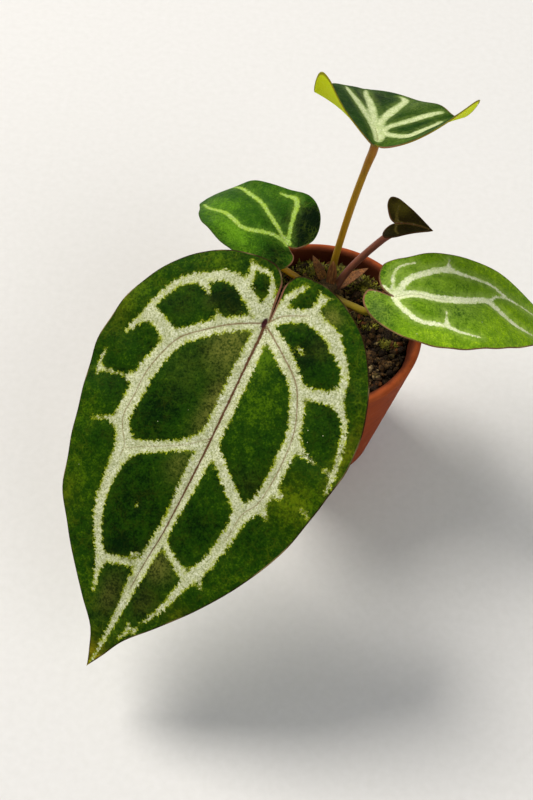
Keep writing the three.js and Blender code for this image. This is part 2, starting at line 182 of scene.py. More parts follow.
place_camera()
add_lamp("key_lamp", place=(-1.9, 1.4, 3.2), aim=(0, -0.03, 0.12), size=1.8, power=160,
         colour=LAMP_WARM)
add_lamp("fill_lamp", place=(2.2, -2.2, 2.7), aim=(0, 0, 0.1), size=2.8, power=54,
         colour=LAMP_COOL)
world = bpy.data.worlds.new("studio")
world.use_nodes = True
sky = world.node_tree.nodes["Background"]
sky.inputs["Color"].default_value = (*LAMP_COOL, 1)
sky.inputs["Strength"].default_value = SKY_STRENGTH
bpy.context.scene.world = world
bpy.context.scene.view_settings.view_transform = "Standard"
floor_mesh = bpy.data.meshes.new("floor")
floor_corners = [(-FLOOR_HALF, -FLOOR_HALF, 0), (FLOOR_HALF, -FLOOR_HALF, 0),
                 (FLOOR_HALF, FLOOR_HALF, 0), (-FLOOR_HALF, FLOOR_HALF, 0)]
floor_mesh.from_pydata(floor_corners, [], [(0, 1, 2, 3)])
floor_mesh.materials.append(floor_material())
floor = bpy.data.objects.new("floor", floor_mesh)
bpy.context.scene.collection.objects.link(floor)


# Pot
# A thrown pot of red clay with a thin straight wall and a rounded lip, fired and unglazed. It is
# turned as one profile, and its three drain holes are cut through the floor.
RIM_RADIUS = 54
POT_HEIGHT = 95
WALL = 5
LIP_ROUND = 2.4
LIP_INSET = 0.4
FOOT_RADIUS = 38
FOOT_ROUND = 1.5
POT_FLOOR = 6
INNER_ROUND = 4
WALL_SLOPE = (RIM_RADIUS - FOOT_RADIUS) / POT_HEIGHT
DRAIN_RADIUS = 4
DRAIN_CIRCLE = 18
DRAIN_HOLES = 3
POT_SIDES = 180
WELD = 0.0005
# Waves of the outer wall: rise, waves per millimetre in radians, and start
THROWING_RINGS = [(0.07, 2.1, 0), (0.05, 0.93, 1)]
# The paler lip colour is a painted highlight for the rim's top, and the darkest colour is painted shade
# for the inner wall.
CLAY = dict(dark=(124, 48, 13), pale=(154, 66, 22), streak=(100, 38, 14), bloom=(196, 124, 82),
            grit=(110, 48, 24), lip=(168, 82, 40), inner_shade=(58, 22, 8))


def weld(points, quads):
    """Joins points that lie at the same place, drops the faces that this flattens to a line, and
    leaves a triangle where it brings two corners of a face together."""
    keys = np.round(points / WELD).astype(np.int64)
    _, first, joined = np.unique(keys, axis=0, return_index=True, return_inverse=True)
    quads = joined.reshape(-1)[quads]
    after = np.roll(quads, -1, axis=1)
    same = quads == after
    whole = quads[~same.any(axis=1) & (quads[:, 0] != quads[:, 2]) & (quads[:, 1] != quads[:, 3])]
    pinched = quads[same.sum(axis=1) == 1]
    keep = ~same[same.sum(axis=1) == 1]
    triangles = pinched[keep].reshape(-1, 3)
    return points[first], [*whole.tolist(), *triangles.tolist()], first


def grid_faces(rows, columns, ring=False):
    """The quads of a grid of points that is stored row by row, closed sideways for a ring."""
    across = columns if ring else columns - 1
    row, column = np.meshgrid(np.arange(rows - 1), np.arange(across), indexing="ij")
    here = row * columns + column
    beside = row * columns + (column + 1) % columns
    return np.stack([here, beside, beside + columns, here + columns], axis=-1).reshape(-1, 4)


def add_piece(name, points, faces, material, slot, nodes, tints=None, flat=None):
    """A smooth mesh from points in millimetres. It rides on the root and stands for its nodes.
    Tints are named numbers, one for each point, and flat is a place in the flat piece."""
    mesh = bpy.data.meshes.new(name)
    mesh.from_pydata((np.asarray(points) * MM).tolist(), [], faces)
    mesh.shade_smooth()
    for label, values in (tints or {}).items():
        layer = mesh.attributes.new(label, "FLOAT", "POINT")
        layer.data.foreach_set("value", np.asarray(values, np.float32))
    if flat is not None:
        corners = np.zeros(len(mesh.loops), np.int32)
        mesh.loops.foreach_get("vertex_index", corners)
        layer = mesh.uv_layers.new(name="flat")
        layer.data.foreach_set("uv", flat[corners].astype(np.float32).ravel())
    mesh.materials.append(material)
    piece = bpy.data.objects.new(name, mesh)
    bpy.context.scene.collection.objects.link(piece)
    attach(piece, "root")
    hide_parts(*nodes)
    return piece


def arc(centre, radius, start, end, steps):
    """Points of a profile round a corner: the centre plus the radius at each angle in degrees."""
    angle = np.radians(np.linspace(start, end, steps))
    return np.stack([centre[0] + radius * np.cos(angle), centre[1] + radius * np.sin(angle)], axis=1)


def turned(profile, sides):
    """A profile of radius and height turned round the vertical: each point keeps its height, and
    its radius is shared between X and Y by the cosine and sine of the angle."""
    angle = 2 * np.pi * np.arange(sides) / sides
    radius = profile[:, :1]
    x = radius * np.cos(angle)
    y = radius * np.sin(angle)
    z = np.repeat(profile[:, 1:], sides, axis=1)
    points = np.stack([x, y, z], axis=-1)
    return points, grid_faces(len(profile), sides, ring=True)


def pot_profile():
    """Up the outer wall, over the lip, down the inner wall and in over the floor. The outer wall
    has faint throwing rings, which fade out towards the lip and the foot."""
    def outer(height):
        return FOOT_RADIUS + WALL_SLOPE * height
    lip_middle = POT_HEIGHT - LIP_ROUND
    height = np.linspace(FOOT_ROUND, lip_middle, 70)
    fade = np.sin(np.pi * (height - FOOT_ROUND) / (lip_middle - FOOT_ROUND))
    rings = sum(rise * np.sin(height * pace + start) for rise, pace, start in THROWING_RINGS)
    wall = np.stack([outer(height) + rings * fade - 0.1 * fade, height], axis=1)
    foot = arc((FOOT_RADIUS - FOOT_ROUND, FOOT_ROUND), FOOT_ROUND, -90, -10, 6)
    outer_lip = arc((outer(lip_middle) - LIP_ROUND, lip_middle), LIP_ROUND, 12, 90, 7)
    inner_lip = arc((RIM_RADIUS - WALL + LIP_ROUND - LIP_INSET, lip_middle), LIP_ROUND, 90, 172, 7)
    corner_height = POT_FLOOR + INNER_ROUND
    inner_height = np.linspace(lip_middle - 1, corner_height, 12)
    inner = np.stack([outer(inner_height) - WALL, inner_height], axis=1)
    corner_x = outer(corner_height) - WALL - INNER_ROUND
    corner = arc((corner_x, corner_height), INNER_ROUND, -10, -90, 6)
    floor_ring = np.array([[corner_x * 0.6, POT_FLOOR], [0, POT_FLOOR]])
    underside = np.array([[0, 0], [corner_x * 0.6, 0]])
    return np.concatenate([underside, foot, wall, outer_lip, inner_lip, inner, corner, floor_ring])


def ease(value, low, high, least=0.0, most=1.0):
    """An S-shaped step from least to most as the value goes from low to high."""
    return add_node(value.tree, "MapRange", {"interpolation_type": "SMOOTHSTEP"},
                    {"Value": value, "From Min": low, "From Max": high, "To Min": least, "To Max": most})


def add_bump(shader, height, depth_mm, strength=1.0):
    bump = add_node(height.tree, "Bump", {}, {"Strength": strength, "Distance": depth_mm * MM,
                                              "Height": height})
    join(shader.inputs["Normal"], bump)


def coordinates(tree):
    """X, Y and Z of the place on the piece, in metres."""
    node = tree.nodes.new("ShaderNodeSeparateXYZ")
    join(node.inputs[0], object_place(tree))
    return [Value(output) for output in node.outputs]


def clay_material():
    """Fired red clay: orange with darker and paler clouds, fine grit, a pale bloom of salts and
    a painted highlight that makes the top of the lip paler. The inner wall is darkened with
    painted shade: there the distance from the axis is well below the outer wall's radius at that height."""
    material, tree, shader = new_material("clay", 0.82)
    clouds = noise(tree, 30, 4, 0.55)
    colour = mix_colours(clouds, CLAY["dark"], CLAY["pale"])
    streaks = ease(noise(tree, 14, 3, 0.6, (1, 1, 3)), 0.45, 0.75)
    colour = mix_colours(streaks * 0.35, colour, CLAY["streak"])
    salts = ease(noise(tree, 9, 5, 0.65), 0.56, 0.74)
    colour = mix_colours(salts * 0.2, colour, CLAY["bloom"])
    grit = ease(noise(tree, 0.7, 2), 0.62, 0.7)
    colour = mix_colours(grit * 0.4, colour, CLAY["grit"])
    x, y, z = coordinates(tree)
    # Painted highlight: the top few millimetres of the lip are made paler, as where the light falls on
    # the rim.
    lip = ease(z, (POT_HEIGHT - 5) * MM, (POT_HEIGHT - 0.5) * MM)
    colour = mix_colours(lip * ease(noise(tree, 7, 3), 0.3, 0.6, 0.2, 0.6), colour, CLAY["lip"])
    # Painted shade: the inner wall, well inside the outer wall's radius, is darkened toward a deep
    # red-brown.
    depth = z * WALL_SLOPE + FOOT_RADIUS * MM - reckon("SQRT", x * x + y * y)
    inner_shade = ease(noise(tree, 8, 3) * (2 * MM) + depth, 0.6 * WALL * MM, 1.15 * WALL * MM)
    colour = mix_colours(inner_shade * 0.8, colour, CLAY["inner_shade"])
    join(shader.inputs["Base Color"], colour)
    add_bump(shader, noise(tree, 1.2, 4, 0.7) * 0.8 + grit, 0.25, 0.6)
    shader.inputs["Specular IOR Level"].default_value = 0.15
    return material


def cut_holes(piece, count, circle, radius, height):
    """Cuts a ring of round upright holes with one Boolean, which is applied to the mesh."""
    cutters = bmesh.new()
    for hole in range(count):
        angle = 2 * math.pi * hole / count
        place = Matrix.Translation((circle * math.cos(angle) * MM, circle * math.sin(angle) * MM, 0))
        bmesh.ops.create_cone(cutters, cap_ends=True, segments=48, radius1=radius * MM,
                              radius2=radius * MM, depth=height * MM, matrix=place)
    mesh = bpy.data.meshes.new("drill")
    cutters.to_mesh(mesh)
    cutters.free()
    drill = bpy.data.objects.new("drill", mesh)
    bpy.context.scene.collection.objects.link(drill)
    cut = piece.modifiers.new("holes", "BOOLEAN")
    cut.object = drill
    cut.solver = "EXACT"
    cut.use_self = True
    bpy.context.view_layer.update()
    done = bpy.data.meshes.new_from_object(piece.evaluated_get(bpy.context.evaluated_depsgraph_get()))
    piece.modifiers.clear()
    piece.data = done
    bpy.data.objects.remove(drill)


pot_points, pot_quads = turned(pot_profile(), POT_SIDES)
pot_points, pot_faces, _ = weld(pot_points.reshape(-1, 3), pot_quads)
pot = add_piece("clay_pot", pot_points, pot_faces, clay_material(), "clay", ["pot"])
cut_holes(pot, DRAIN_HOLES, DRAIN_CIRCLE, DRAIN_RADIUS, 3 * POT_FLOOR)


# Potting mix
# Bark crumbs, pumice and baked clay, damp and darkened further by painted shade, filled to
# just under the rim. The mix is one closed body with a crumbly top, and the granules are strewn
# on it, each turned and sized by chance.
MIX_TOP = 86.5
MIX_GAP = 0.6
MIX_FLOOR_GAP = 0.3
MIX_EDGE_DIP = 2
MIX_HEAP_DIP = 1.6
MIX_RINGS = 46
MIX_SIDES = 144
# Waves of the top: rise, then radians per millimetre along X and Y, and start
MIX_WAVES = [(0.35, 1.7, 1.1, 0), (0.3, 2.9, -2.3, 2), (0.2, 1, 4.7, 0)]
LUMP_RISE = 0.13
LUMP_WAVE = 2.6
# From which draw on a granule takes each tint
# The tints are darkened as painted shade, over the mix's own dark colours.
MIX_TINTS = [(0.0, (34, 22, 12)), (0.26, (62, 42, 22)), (0.46, (94, 66, 36)), (0.62, (124, 94, 56)),
             (0.76, (76, 62, 28)), (0.88, (110, 64, 28)), (0.95, (154, 130, 88))]


def mix_body():
    """A turned body whose top ripples: the sum of sine waves that run across it."""
    def wall(height):
        return FOOT_RADIUS + WALL_SLOPE * height - WALL - MIX_GAP
    bottom = POT_FLOOR + MIX_FLOOR_GAP
    corner = bottom + INNER_ROUND
    edge_height = MIX_TOP - MIX_EDGE_DIP
    edge = wall(edge_height)
    side = np.array([[0, bottom], [wall(bottom) - INNER_ROUND, bottom], [wall(corner), corner],
                     [edge, edge_height]])
    top = np.linspace([edge - 0.5, MIX_TOP - MIX_HEAP_DIP], [0, MIX_TOP - MIX_HEAP_DIP], MIX_RINGS)
    points, faces = turned(np.concatenate([side, top]), MIX_SIDES)
    x, y = points[len(side):, :, 0], points[len(side):, :, 1]
    ripple = 0.5 * np.sin(x * 0.61 + 1.3) * np.sin(y * 0.55)
    for rise, across, along, start in MIX_WAVES:
        ripple += rise * np.sin(x * across + y * along + start)
    points[len(side):, :, 2] += ripple
    return weld(points.reshape(-1, 3), faces)[:2]


def turns(draw, count):
    """Random turns as matrices, from quaternions of four normal draws made one long."""
    q = draw.normal(size=(count, 4))
    w, x, y, z = (q / np.linalg.norm(q, axis=1, keepdims=True)).T
    rows = [[1 - 2 * (y * y + z * z), 2 * (x * y - w * z), 2 * (x * z + w * y)],
            [2 * (x * y + w * z), 1 - 2 * (x * x + z * z), 2 * (y * z - w * x)],
            [2 * (x * z - w * y), 2 * (y * z + w * x), 1 - 2 * (x * x + y * y)]]
    return np.moveaxis(np.array(rows), 2, 0)


def pebbles(draw, count, smallest, largest, cover, heights, subdivisions, sink):
    """Lumps in an even spiral. Each is a ball made lumpy by one wave, stretched to three sizes,
    turned at random and set on the mix. Small ones are more frequent than large ones."""
    ball = bmesh.new()
    bmesh.ops.create_icosphere(ball, subdivisions=subdivisions, radius=1)
    shape = np.array([v.co for v in ball.verts])
    corners = np.array([[v.index for v in f.verts] for f in ball.faces])
    ball.free()
    size = smallest + (largest - smallest) * draw.random(count) ** 1.6
    index = np.arange(count)
    radius = np.sqrt((index + 0.5) / count) * cover
    angle = index * math.pi * (3 - math.sqrt(5)) + 0.5 * draw.random(count)
    centre = np.stack([radius * np.cos(angle), radius * np.sin(angle)], axis=1)
    centre += draw.normal(scale=0.6, size=centre.shape)
    reach = np.linalg.norm(centre, axis=1, keepdims=True)
    centre *= np.minimum(1, (cover + smallest) / np.maximum(reach, 0.1))
    height = MIX_TOP + draw.uniform(*heights, count) - sink * size
    direction = draw.normal(size=(count, 3))
    lumps = 1 + LUMP_RISE * np.sin(LUMP_WAVE * shape @ direction.T + draw.uniform(0, 6, count))
    stretch = np.stack([draw.uniform(0.9, 1.35, count), draw.uniform(0.75, 1.05, count),
                        draw.uniform(0.6, 0.9, count)], axis=1)
    body = shape[None] * lumps.T[..., None] * stretch[:, None] * size[:, None, None]
    body = np.einsum("nij,nkj->nki", turns(draw, count), body)
    body += np.concatenate([centre, height[:, None]], axis=1)[:, None]
    faces = corners[None] + (index * len(shape))[:, None, None]
    tint = np.repeat(draw.random(count), len(shape))
    return body.reshape(-1, 3), faces.reshape(-1, 3), tint


def attribute(tree, name):
    """A number that the mesh holds for each of its points."""
    return add_node(tree, "Attribute", {"attribute_name": name}, {}, "Fac")


def mix_material():
    """Damp crumbs: each granule takes one of seven tints by its draw, from near-black bark and
    brown coir to beige pumice and orange baked clay, and is darker in cloudy patches, which
    are wet mix and painted shade. The tints too are darker than the dry crumbs, as painted shade."""
    material, tree, shader = new_material("potting_mix", 0.9)
    ramp = tree.nodes.new("ShaderNodeValToRGB")
    ramp.color_ramp.interpolation = "CONSTANT"
    ramp.color_ramp.elements.remove(ramp.color_ramp.elements[1])
    ramp.color_ramp.elements[0].color = linear(MIX_TINTS[0][1])
    for position, tint in MIX_TINTS[1:]:
        ramp.color_ramp.elements.new(position).color = linear(tint)
    join(ramp.inputs[0], attribute(tree, "tint"))
    # Cloudy dark patches: wet mix, with painted shade in the same near-black colour.
    wet_and_shade = ease(noise(tree, 1.6, 4, 0.6), 0.35, 0.65)
    colour = mix_colours(wet_and_shade, (17, 11, 6), Value(ramp.outputs[0]))
    dust = ease(noise(tree, 0.5, 2), 0.55, 0.75)
    colour = mix_colours(dust * 0.3, colour, (150, 128, 92))
    join(shader.inputs["Base Color"], colour)
    add_bump(shader, noise(tree, 0.8, 4, 0.7), 0.5, 0.8)
    shader.inputs["Specular IOR Level"].default_value = 0.15
    return material


mix_draw = np.random.default_rng(41)
mix_points, mix_faces = mix_body()
mix_tint = np.zeros(len(mix_points))
large = pebbles(mix_draw, count=980, smallest=1.3, largest=3.1, cover=45.6, heights=(-1.6, 0.6),
                subdivisions=2, sink=0.1)
small = pebbles(mix_draw, count=1500, smallest=0.5, largest=1.1, cover=46.2, heights=(-1.3, 0.4),
                subdivisions=1, sink=0.0)
for lump_points, lump_faces, lump_tint in (large, small):
    mix_faces += (lump_faces + len(mix_points)).tolist()
    mix_points = np.concatenate([mix_points, lump_points])
    mix_tint = np.concatenate([mix_tint, lump_tint])
add_piece("potting_mix", mix_points, mix_faces, mix_material(), "potting_mix", ["soil"],
          {"tint": mix_tint})


# Moss
# Small yellow-green tufts that have grown on the damp mix, mostly behind the crown. Each tuft is
# a spray of slender pointed leaves, which are four-sided spindles fanned out from one spot.
MOSS_LEAVES = 16
MOSS_REACH = 46
CROWN_X = 3
CROWN_Y = 21
CROWN_RADIUS = 7
MOSS_LEAF_HALF_WIDTH = 0.3
MOSS_LEAF_HALF_THICKNESS = 0.1
MOSS_BELLY = 0.38
MOSS_COLOURS = dict(old=(92, 88, 16), fresh=(146, 142, 20), tip=(180, 172, 36), shade=(38, 34, 10))
# Where each patch lies, how far it reaches and how many tufts it has
MOSS_PATCHES = [(-6, 41, 8, 70), (7, 40, 7, 50), (23, 34, 9, 80), (30, 18, 6, 20), (-17, 34, 8, 34),
                (36, -4, 5, 14), (-3, 8, 6, 14), (14, 42, 6, 30), (12, 6, 5, 10), (-30, 20, 8, 20),
                (26, 6, 6, 14)]


def moss_tufts(draw):
    """Each leaf is a spindle: its foot, four points a third of the way along, and its tip. Its
    direction leans away from the tuft's middle by a random amount."""
    spots = np.concatenate([draw.normal((x, y), (reach / 2, reach / 2), (count, 2))
                            for x, y, reach, count in MOSS_PATCHES])
    spots = spots[np.linalg.norm(spots, axis=1) < MOSS_REACH]
    spots = spots[np.linalg.norm(spots - (CROWN_X, CROWN_Y), axis=1) > CROWN_RADIUS + 1]
    count = len(spots) * MOSS_LEAVES
    foot = np.repeat(spots, MOSS_LEAVES, axis=0) + draw.normal(scale=0.35, size=(count, 2))
    foot = np.column_stack([foot, MIX_TOP - 0.6 + draw.uniform(0, 1.2, count)])
    lean = np.radians(draw.uniform(5, 75, count))
    bearing = draw.uniform(0, 2 * np.pi, count)
    level = np.sin(lean)
    point = np.stack([level * np.cos(bearing), level * np.sin(bearing), np.cos(lean)], axis=1)
    side = np.stack([-np.sin(bearing), np.cos(bearing), np.zeros(count)], axis=1)
    front = np.cross(point, side)
    length = draw.uniform(1.4, 3.4, count)[:, None]
    side *= MOSS_LEAF_HALF_WIDTH * draw.uniform(0.7, 1.3, count)[:, None]
    front *= MOSS_LEAF_HALF_THICKNESS
    belly = foot + point * length * MOSS_BELLY
    shape = np.stack([foot, belly + side, belly + front, belly - side, belly - front,
                      foot + point * length], axis=1)
    corners = np.array([[0, 2, 1], [0, 3, 2], [0, 4, 3], [0, 1, 4], [5, 1, 2], [5, 2, 3], [5, 3, 4],
                        [5, 4, 1]])
    faces = corners[None] + (np.arange(count) * 6)[:, None, None]
    tint = np.repeat(draw.random(len(spots)), MOSS_LEAVES * 6)
    return shape.reshape(-1, 3), faces.reshape(-1, 3).tolist(), {"tint": tint}


def moss_material():
    """Moss from fresh yellow-green to dry olive brown, by tuft."""
    material, tree, shader = new_material("moss", 0.7)
    tint = attribute(tree, "tint")
    colour = mix_colours(ease(tint, 0.1, 0.6), MOSS_COLOURS["old"], MOSS_COLOURS["fresh"])
    colour = mix_colours(ease(tint, 0.7, 1.0), colour, MOSS_COLOURS["tip"])
    shade = ease(noise(tree, 1.5, 3), 0.3, 0.65, 0.3, 1.0)
    colour = mix_colours(shade, MOSS_COLOURS["shade"], colour)
    join(shader.inputs["Base Color"], colour)
    return material


moss_points, moss_faces, moss_tint = moss_tufts(np.random.default_rng(7))
add_piece("moss", moss_points, moss_faces, moss_material(), "potting_mix", ["soil"], moss_tint)


# Crown
# The short upright stem that all stalks grow from, wrapped in the rings and fibres that old
# leaves leave behind. It is rooted in the mix.
CROWN_FOOT = 60
CROWN_TOP = 102
CROWN_SIDES = 96
# Share of the crown's radius at each height between its foot and its top
CROWN_SHARES = [[0.55, 60], [0.85, 69], [1, 82.5], [1, 91.5], [0.86, 97], [0.5, 101]]


def crown_body():
    """A turned stem whose radius also swells with leaf-scar rings and upright fibres."""
    share, share_height = np.transpose(CROWN_SHARES)
    height = np.concatenate([[CROWN_FOOT], np.linspace(CROWN_FOOT, CROWN_TOP - 0.6, 70), [CROWN_TOP]])
    radius = CROWN_RADIUS * np.interp(height, share_height, share)
    radius[[0, -1]] = 0
    points, faces = turned(np.stack([radius, height], axis=1), CROWN_SIDES)
    angle = np.arctan2(points[..., 1], points[..., 0])
    fibres = 0.28 * np.sin(19 * angle + 0.7 * np.sin(points[..., 2] * 0.4)) + 0.16 * np.sin(41 * angle)
    rings = 0.35 * np.sin(points[..., 2] * 1.15 + 0.6 * np.sin(3 * angle))
    fade = np.minimum(1, radius / CROWN_RADIUS * 1.6)[:, None]
    swell = 1 + (fibres + rings - 0.2) / CROWN_RADIUS * fade
    points[..., :2] *= swell[..., None]
    points += (CROWN_X, CROWN_Y, 0)
    return weld(points.reshape(-1, 3), faces)[:2]


def fibre_material(name, dark, middle, pale, roughness):
    """Dry plant fibre: fine upright streaks from dark to pale, with brown blotches."""
    material, tree, shader = new_material(name, roughness)
    streak = noise(tree, 1.1, 4, 0.65, (1, 1, 0.12))
    colour = mix_colours(ease(streak, 0.3, 0.6), dark, middle)
    thread = ease(noise(tree, 0.5, 2, 0.5, (1, 1, 0.08)), 0.52, 0.72)
    colour = mix_colours(thread, colour, pale)
    blotch = ease(noise(tree, 5, 3), 0.5, 0.7)
    colour = mix_colours(blotch * 0.6, colour, dark)
    join(shader.inputs["Base Color"], colour)
    add_bump(shader, streak, 0.5, 0.7)
    return material


bark = fibre_material("crown_bark", (38, 26, 14), (88, 64, 34), (132, 104, 60), 0.9)
add_piece("crown_stem", *crown_body(), bark, "crown_bark", ["crown"])


# Front blade
# The oldest blade, heart-shaped and hanging from its stalk, with a velvety upper face. Silver
# bands follow its veins. It is one closed sheet: rows of points run out from the midrib to the
# margin on the upper face and back on the lower one.
BLADE_SHEET = 0.62
BLADE_DROP = 0.15
MARGIN_ROUND = 0.35
CELL_BULGE = 0.9
RIB_REACH = 1.5
RIB_SUNK = 0.25
RIB_BELOW = 0.7
LINE_REACH = 1.8
SILVER_BLEND = 0.8
VEIN_APART = 40
FLAT_SPAN = 250
LATERAL_SLANT = 0.6
# Where the columns of points start and stop along the midrib, and how slowly they begin
WALK_LEAD = 0.04
WALK_SHARE = 0.985
WALK_POWER = 1.15
# The last rows, as shares of the round margin that they are away from the edge
RIM_SHARES = [[0.55], [0.22], [0.05], [0]]
# Spots by place along, reach across and reach along: the knot over the stalk and the sinus
KNOT = (-0.6, 1.5, 3.2)
SINUS = (-12, 10, 9)
FRONT = dict(
    junction=(-27, -55, 161), heading=240.2, pitch=30, roll=0, arch=22, length=186, half_width=67,
    fold=0, cup=-0.06, channel=1.2, funnel=2.6, funnel_radius=14, lobe_rise=0.25, curl=None,
    waves=[(1.6, 74, 0.1, 1), (1.8, 66, 0.45, -1), (0.6, 23, 0.3, 1), (0.6, 19, 0.7, -1)],
    notch=(0.2, -2),
    plus_side=[(1.1, -7), (2.3, -14), (3.4, -20.5), (9, -25.5), (19, -25.5), (32, -22), (43, -15.8),
               (52, -7.3), (61.3, 8), (67.2, 26), (69, 47), (62.2, 71), (55.6, 94), (49.4, 115),
               (38.5, 129.5), (27, 143), (16, 155.3), (6.3, 166), (2.3, 177)],
    minus_side=[(0.6, -7), (1.2, -14), (1.5, -20.5), (-2, -26.5), (-9, -28), (-19, -27.8),
                (-31.5, -23.3), (-44.7, -14.2), (-56.5, 2.2), (-63.4, 20.5), (-66, 39), (-64, 58),
                (-61.4, 73), (-57.7, 88), (-49, 108.5), (-37, 129), (-23.3, 148), (-11.7, 163),
                (-5.2, 176)],
    columns=370, rows=84, under_rows=22, knot_x=1.8, lateral=8.5,
)
# Each vein is given by points of the flat blade: x across, y along and the silver band's width
FRONT_VEINS = dict(
    midrib=[(1.8, -0.6, 6), (0.4, 4, 7.5), (-1, 15, 8.6), (-2.6, 30, 9), (-4.6, 56, 9), (-5.5, 78, 8.2),
            (-5.7, 94, 6), (-5.5, 108, 5.6), (-4.3, 122, 6), (-3.5, 137, 5.2), (-3.4, 150, 3.2),
            (-2.6, 166, 2.1), (-2, 175, 0.9), (-1.5, 183, 0.5)],
    left=[(2, -0.5, 6.3), (14, 7.4, 6.5), (25, 17, 6.6), (32.5, 25, 7.2), (36.5, 35, 8),
          (38.7, 47, 8.6), (38.4, 59, 7.8), (38, 69, 7.1), (35, 75, 7.2), (30.5, 81, 8.6),
          (30.2, 90, 6.6), (29.7, 102, 4.6), (27.4, 114, 4.4), (21, 126.5, 3.8), (16.5, 132.5, 4),
          (14, 142, 2), (12.3, 149, 0.8)],
    right=[(1.5, -0.5, 6.5), (-13.6, 7.4, 7.5), (-25.8, 15.4, 6.1), (-32.5, 25.2, 6.4),
           (-36.8, 35, 5.9), (-39.2, 48, 6.6), (-39.5, 61, 5.8), (-38.5, 71, 6), (-34.4, 79.3, 6.4),
           (-33.7, 90, 5.9), (-31.5, 105.5, 5), (-27.8, 115, 5), (-25, 125, 3.4), (-21.5, 138, 1.9),
           (-16.5, 149, 0.5)],
    right_loop=[(1, -1, 5.7), (-4, -7, 6.6), (-12.5, -11.5, 6), (-17, -13.1, 6), (-28.6, -10.6, 6.7),
                (-34, -7, 5.8), (-39.2, -3.2, 4), (-44.6, 3, 3.2), (-45.5, 9.7, 4.5)],
    left_loop=[(4, -1.4, 5.9), (13, -7, 6), (21, -10.5, 5.2), (28.5, -10.5, 5.1), (33.5, -7, 4.2),
               (41, -2, 4), (46.5, 3.3, 3.2), (49.5, 9.5, 3.4), (51.9, 17.5, 3.2), (50.5, 21.5, 6),
               (45.5, 23, 6.6), (37, 26.5, 7.6)],
    left_lateral=[(-3, 58, 7.4), (4, 65, 5), (14.5, 72, 4.7), (23.4, 77.4, 5.5), (28, 81, 8.3)],
    right_lateral=[(-4.6, 57.7, 5), (-14, 64, 4.8), (-24.5, 72, 4.9), (-33.7, 78.6, 6.2)],
    left_spur_down=[(37, -3.5, 4.6), (33, -1, 2.1), (30.5, 0.7, 0.5)],
    left_spur_up=[(19.7, 9, 4.2), (23, 5.7, 0.5)],
    left_branch=[(51, 22.3, 4.9), (54.5, 27.5, 3.2), (57, 32.8, 2), (58, 35, 0.8)],
    left_broken_loop=[(62.5, 47.5, 0.5), (62.2, 52, 1), (60.6, 56.3, 1.7), (55, 55, 0.9),
                      (49, 53.5, 0.7), (43, 51.8, 4.2)],
    left_broken_spur=[(60.6, 56.3, 1.6), (60.8, 59, 0.6)],
    left_margin_spur=[(38.6, 71.9, 6), (42.4, 73.5, 2.8), (45.2, 74.5, 1.2), (51.4, 78, 0.7)],
    left_low_lateral=[(-2.3, 125, 4.1), (2.8, 127.6, 2.2), (9.8, 130, 3.6), (16, 133, 3.8)],
    left_thread=[(5, 127.7, 0.6), (1, 121.3, 0.7)],
    right_low_lateral=[(-5.5, 108.7, 4.7), (-13.8, 113, 2.8), (-21, 116.7, 3.8), (-25.5, 118.5, 5)],
    right_tip_spur=[(-28, 114, 4.5), (-31.4, 116.2, 2.2), (-33.7, 118.5, 0.5)],
    right_tip_bits=[(-10.8, 153.6, 1.6), (-11.5, 157, 1.4), (-9.5, 163, 0.5)],
    right_tip_dot=[(-14.6, 154, 1), (-14.5, 156, 0.9)],
    right_cross=[(-28.8, 18.2, 5.4), (-34.7, 16.6, 5.5), (-42, 14, 4.9), (-45.2, 12, 6.2)],
    right_low_loop=[(-44.6, 13, 5.8), (-51.6, 17.5, 3.1), (-55.5, 22.5, 2.1), (-59, 31.5, 1.9),
                    (-61.3, 39.5, 1.6), (-62, 44, 2.1), (-63, 49, 0.9), (-63.2, 51.5, 0.4)],
    right_margin_twig=[(-61.5, 42.8, 1.8), (-59, 42.7, 1.1), (-56.7, 42.3, 0.5)],
    right_spur=[(-40.7, 39.6, 5.3), (-46.3, 41.4, 1.6), (-52, 42, 0.4)],
    right_knob=[(-40.8, 61.3, 4.6), (-44.1, 62.4, 3.7), (-46.5, 63, 1.4)],
    right_low_spur=[(-38.6, 70.9, 4.7), (-42.1, 72.5, 3.3), (-45.4, 75.2, 0.6)],
    right_curved_twig=[(-56.2, 63, 0.7), (-58.8, 62.9, 1.2), (-61.2, 64.5, 0.7)],
    lobe=[(0.7, -2, 4.6), (-2.2, -11, 4.3), (-2.5, -15, 3.5), (-5.9, -21.6, 2.2), (-8.1, -24.5, 0.7)],
    lobe_branch=[(-17.2, -13, 5.6), (-17, -19.3, 3), (-17.2, -22, 2.3), (-14.8, -24.5, 0.5)],
    lobe_twig=[(-17.1, -21.7, 1.8), (-20.8, -25, 0.5)],
    sinus_loop=[(19.2, -10.9, 4.8), (17.2, -15.5, 2.9), (18.3, -20, 2.2), (12.7, -21, 1.8),
                (9.6, -20.6, 1.3), (6.2, -16.5, 2.6), (4.9, -11.2, 4), (3.7, -3, 5.3)],
    sinus_twig=[(18.6, -20.1, 1.8), (21, -21.7, 0.6)],
    left_fleck=[(11.4, 101.2, 0.5), (11.5, 102.1, 0.4)],
    right_fleck=[(-18.8, 1.4, 0.3), (-20.6, 2.4, 0.9), (-22.4, 2.5, 0.4)],
)
# The coloured line along the middle of the main veins: its first and last width in millimetres,
# the share of the vein that it runs along, and how brown it is from 1 down to 0, which is grey
FRONT_LINES = {
    "midrib": (1.5, 0.3, 0.7, 1.0), "left": (0.75, 0.26, 0.6, 0.46), "right": (0.8, 0.26, 0.66, 0.44),
    "right_loop": (0.85, 0.28, 0.36, 0.36), "left_lateral": (0.3, 0.26, 1.0, 0.2),
}
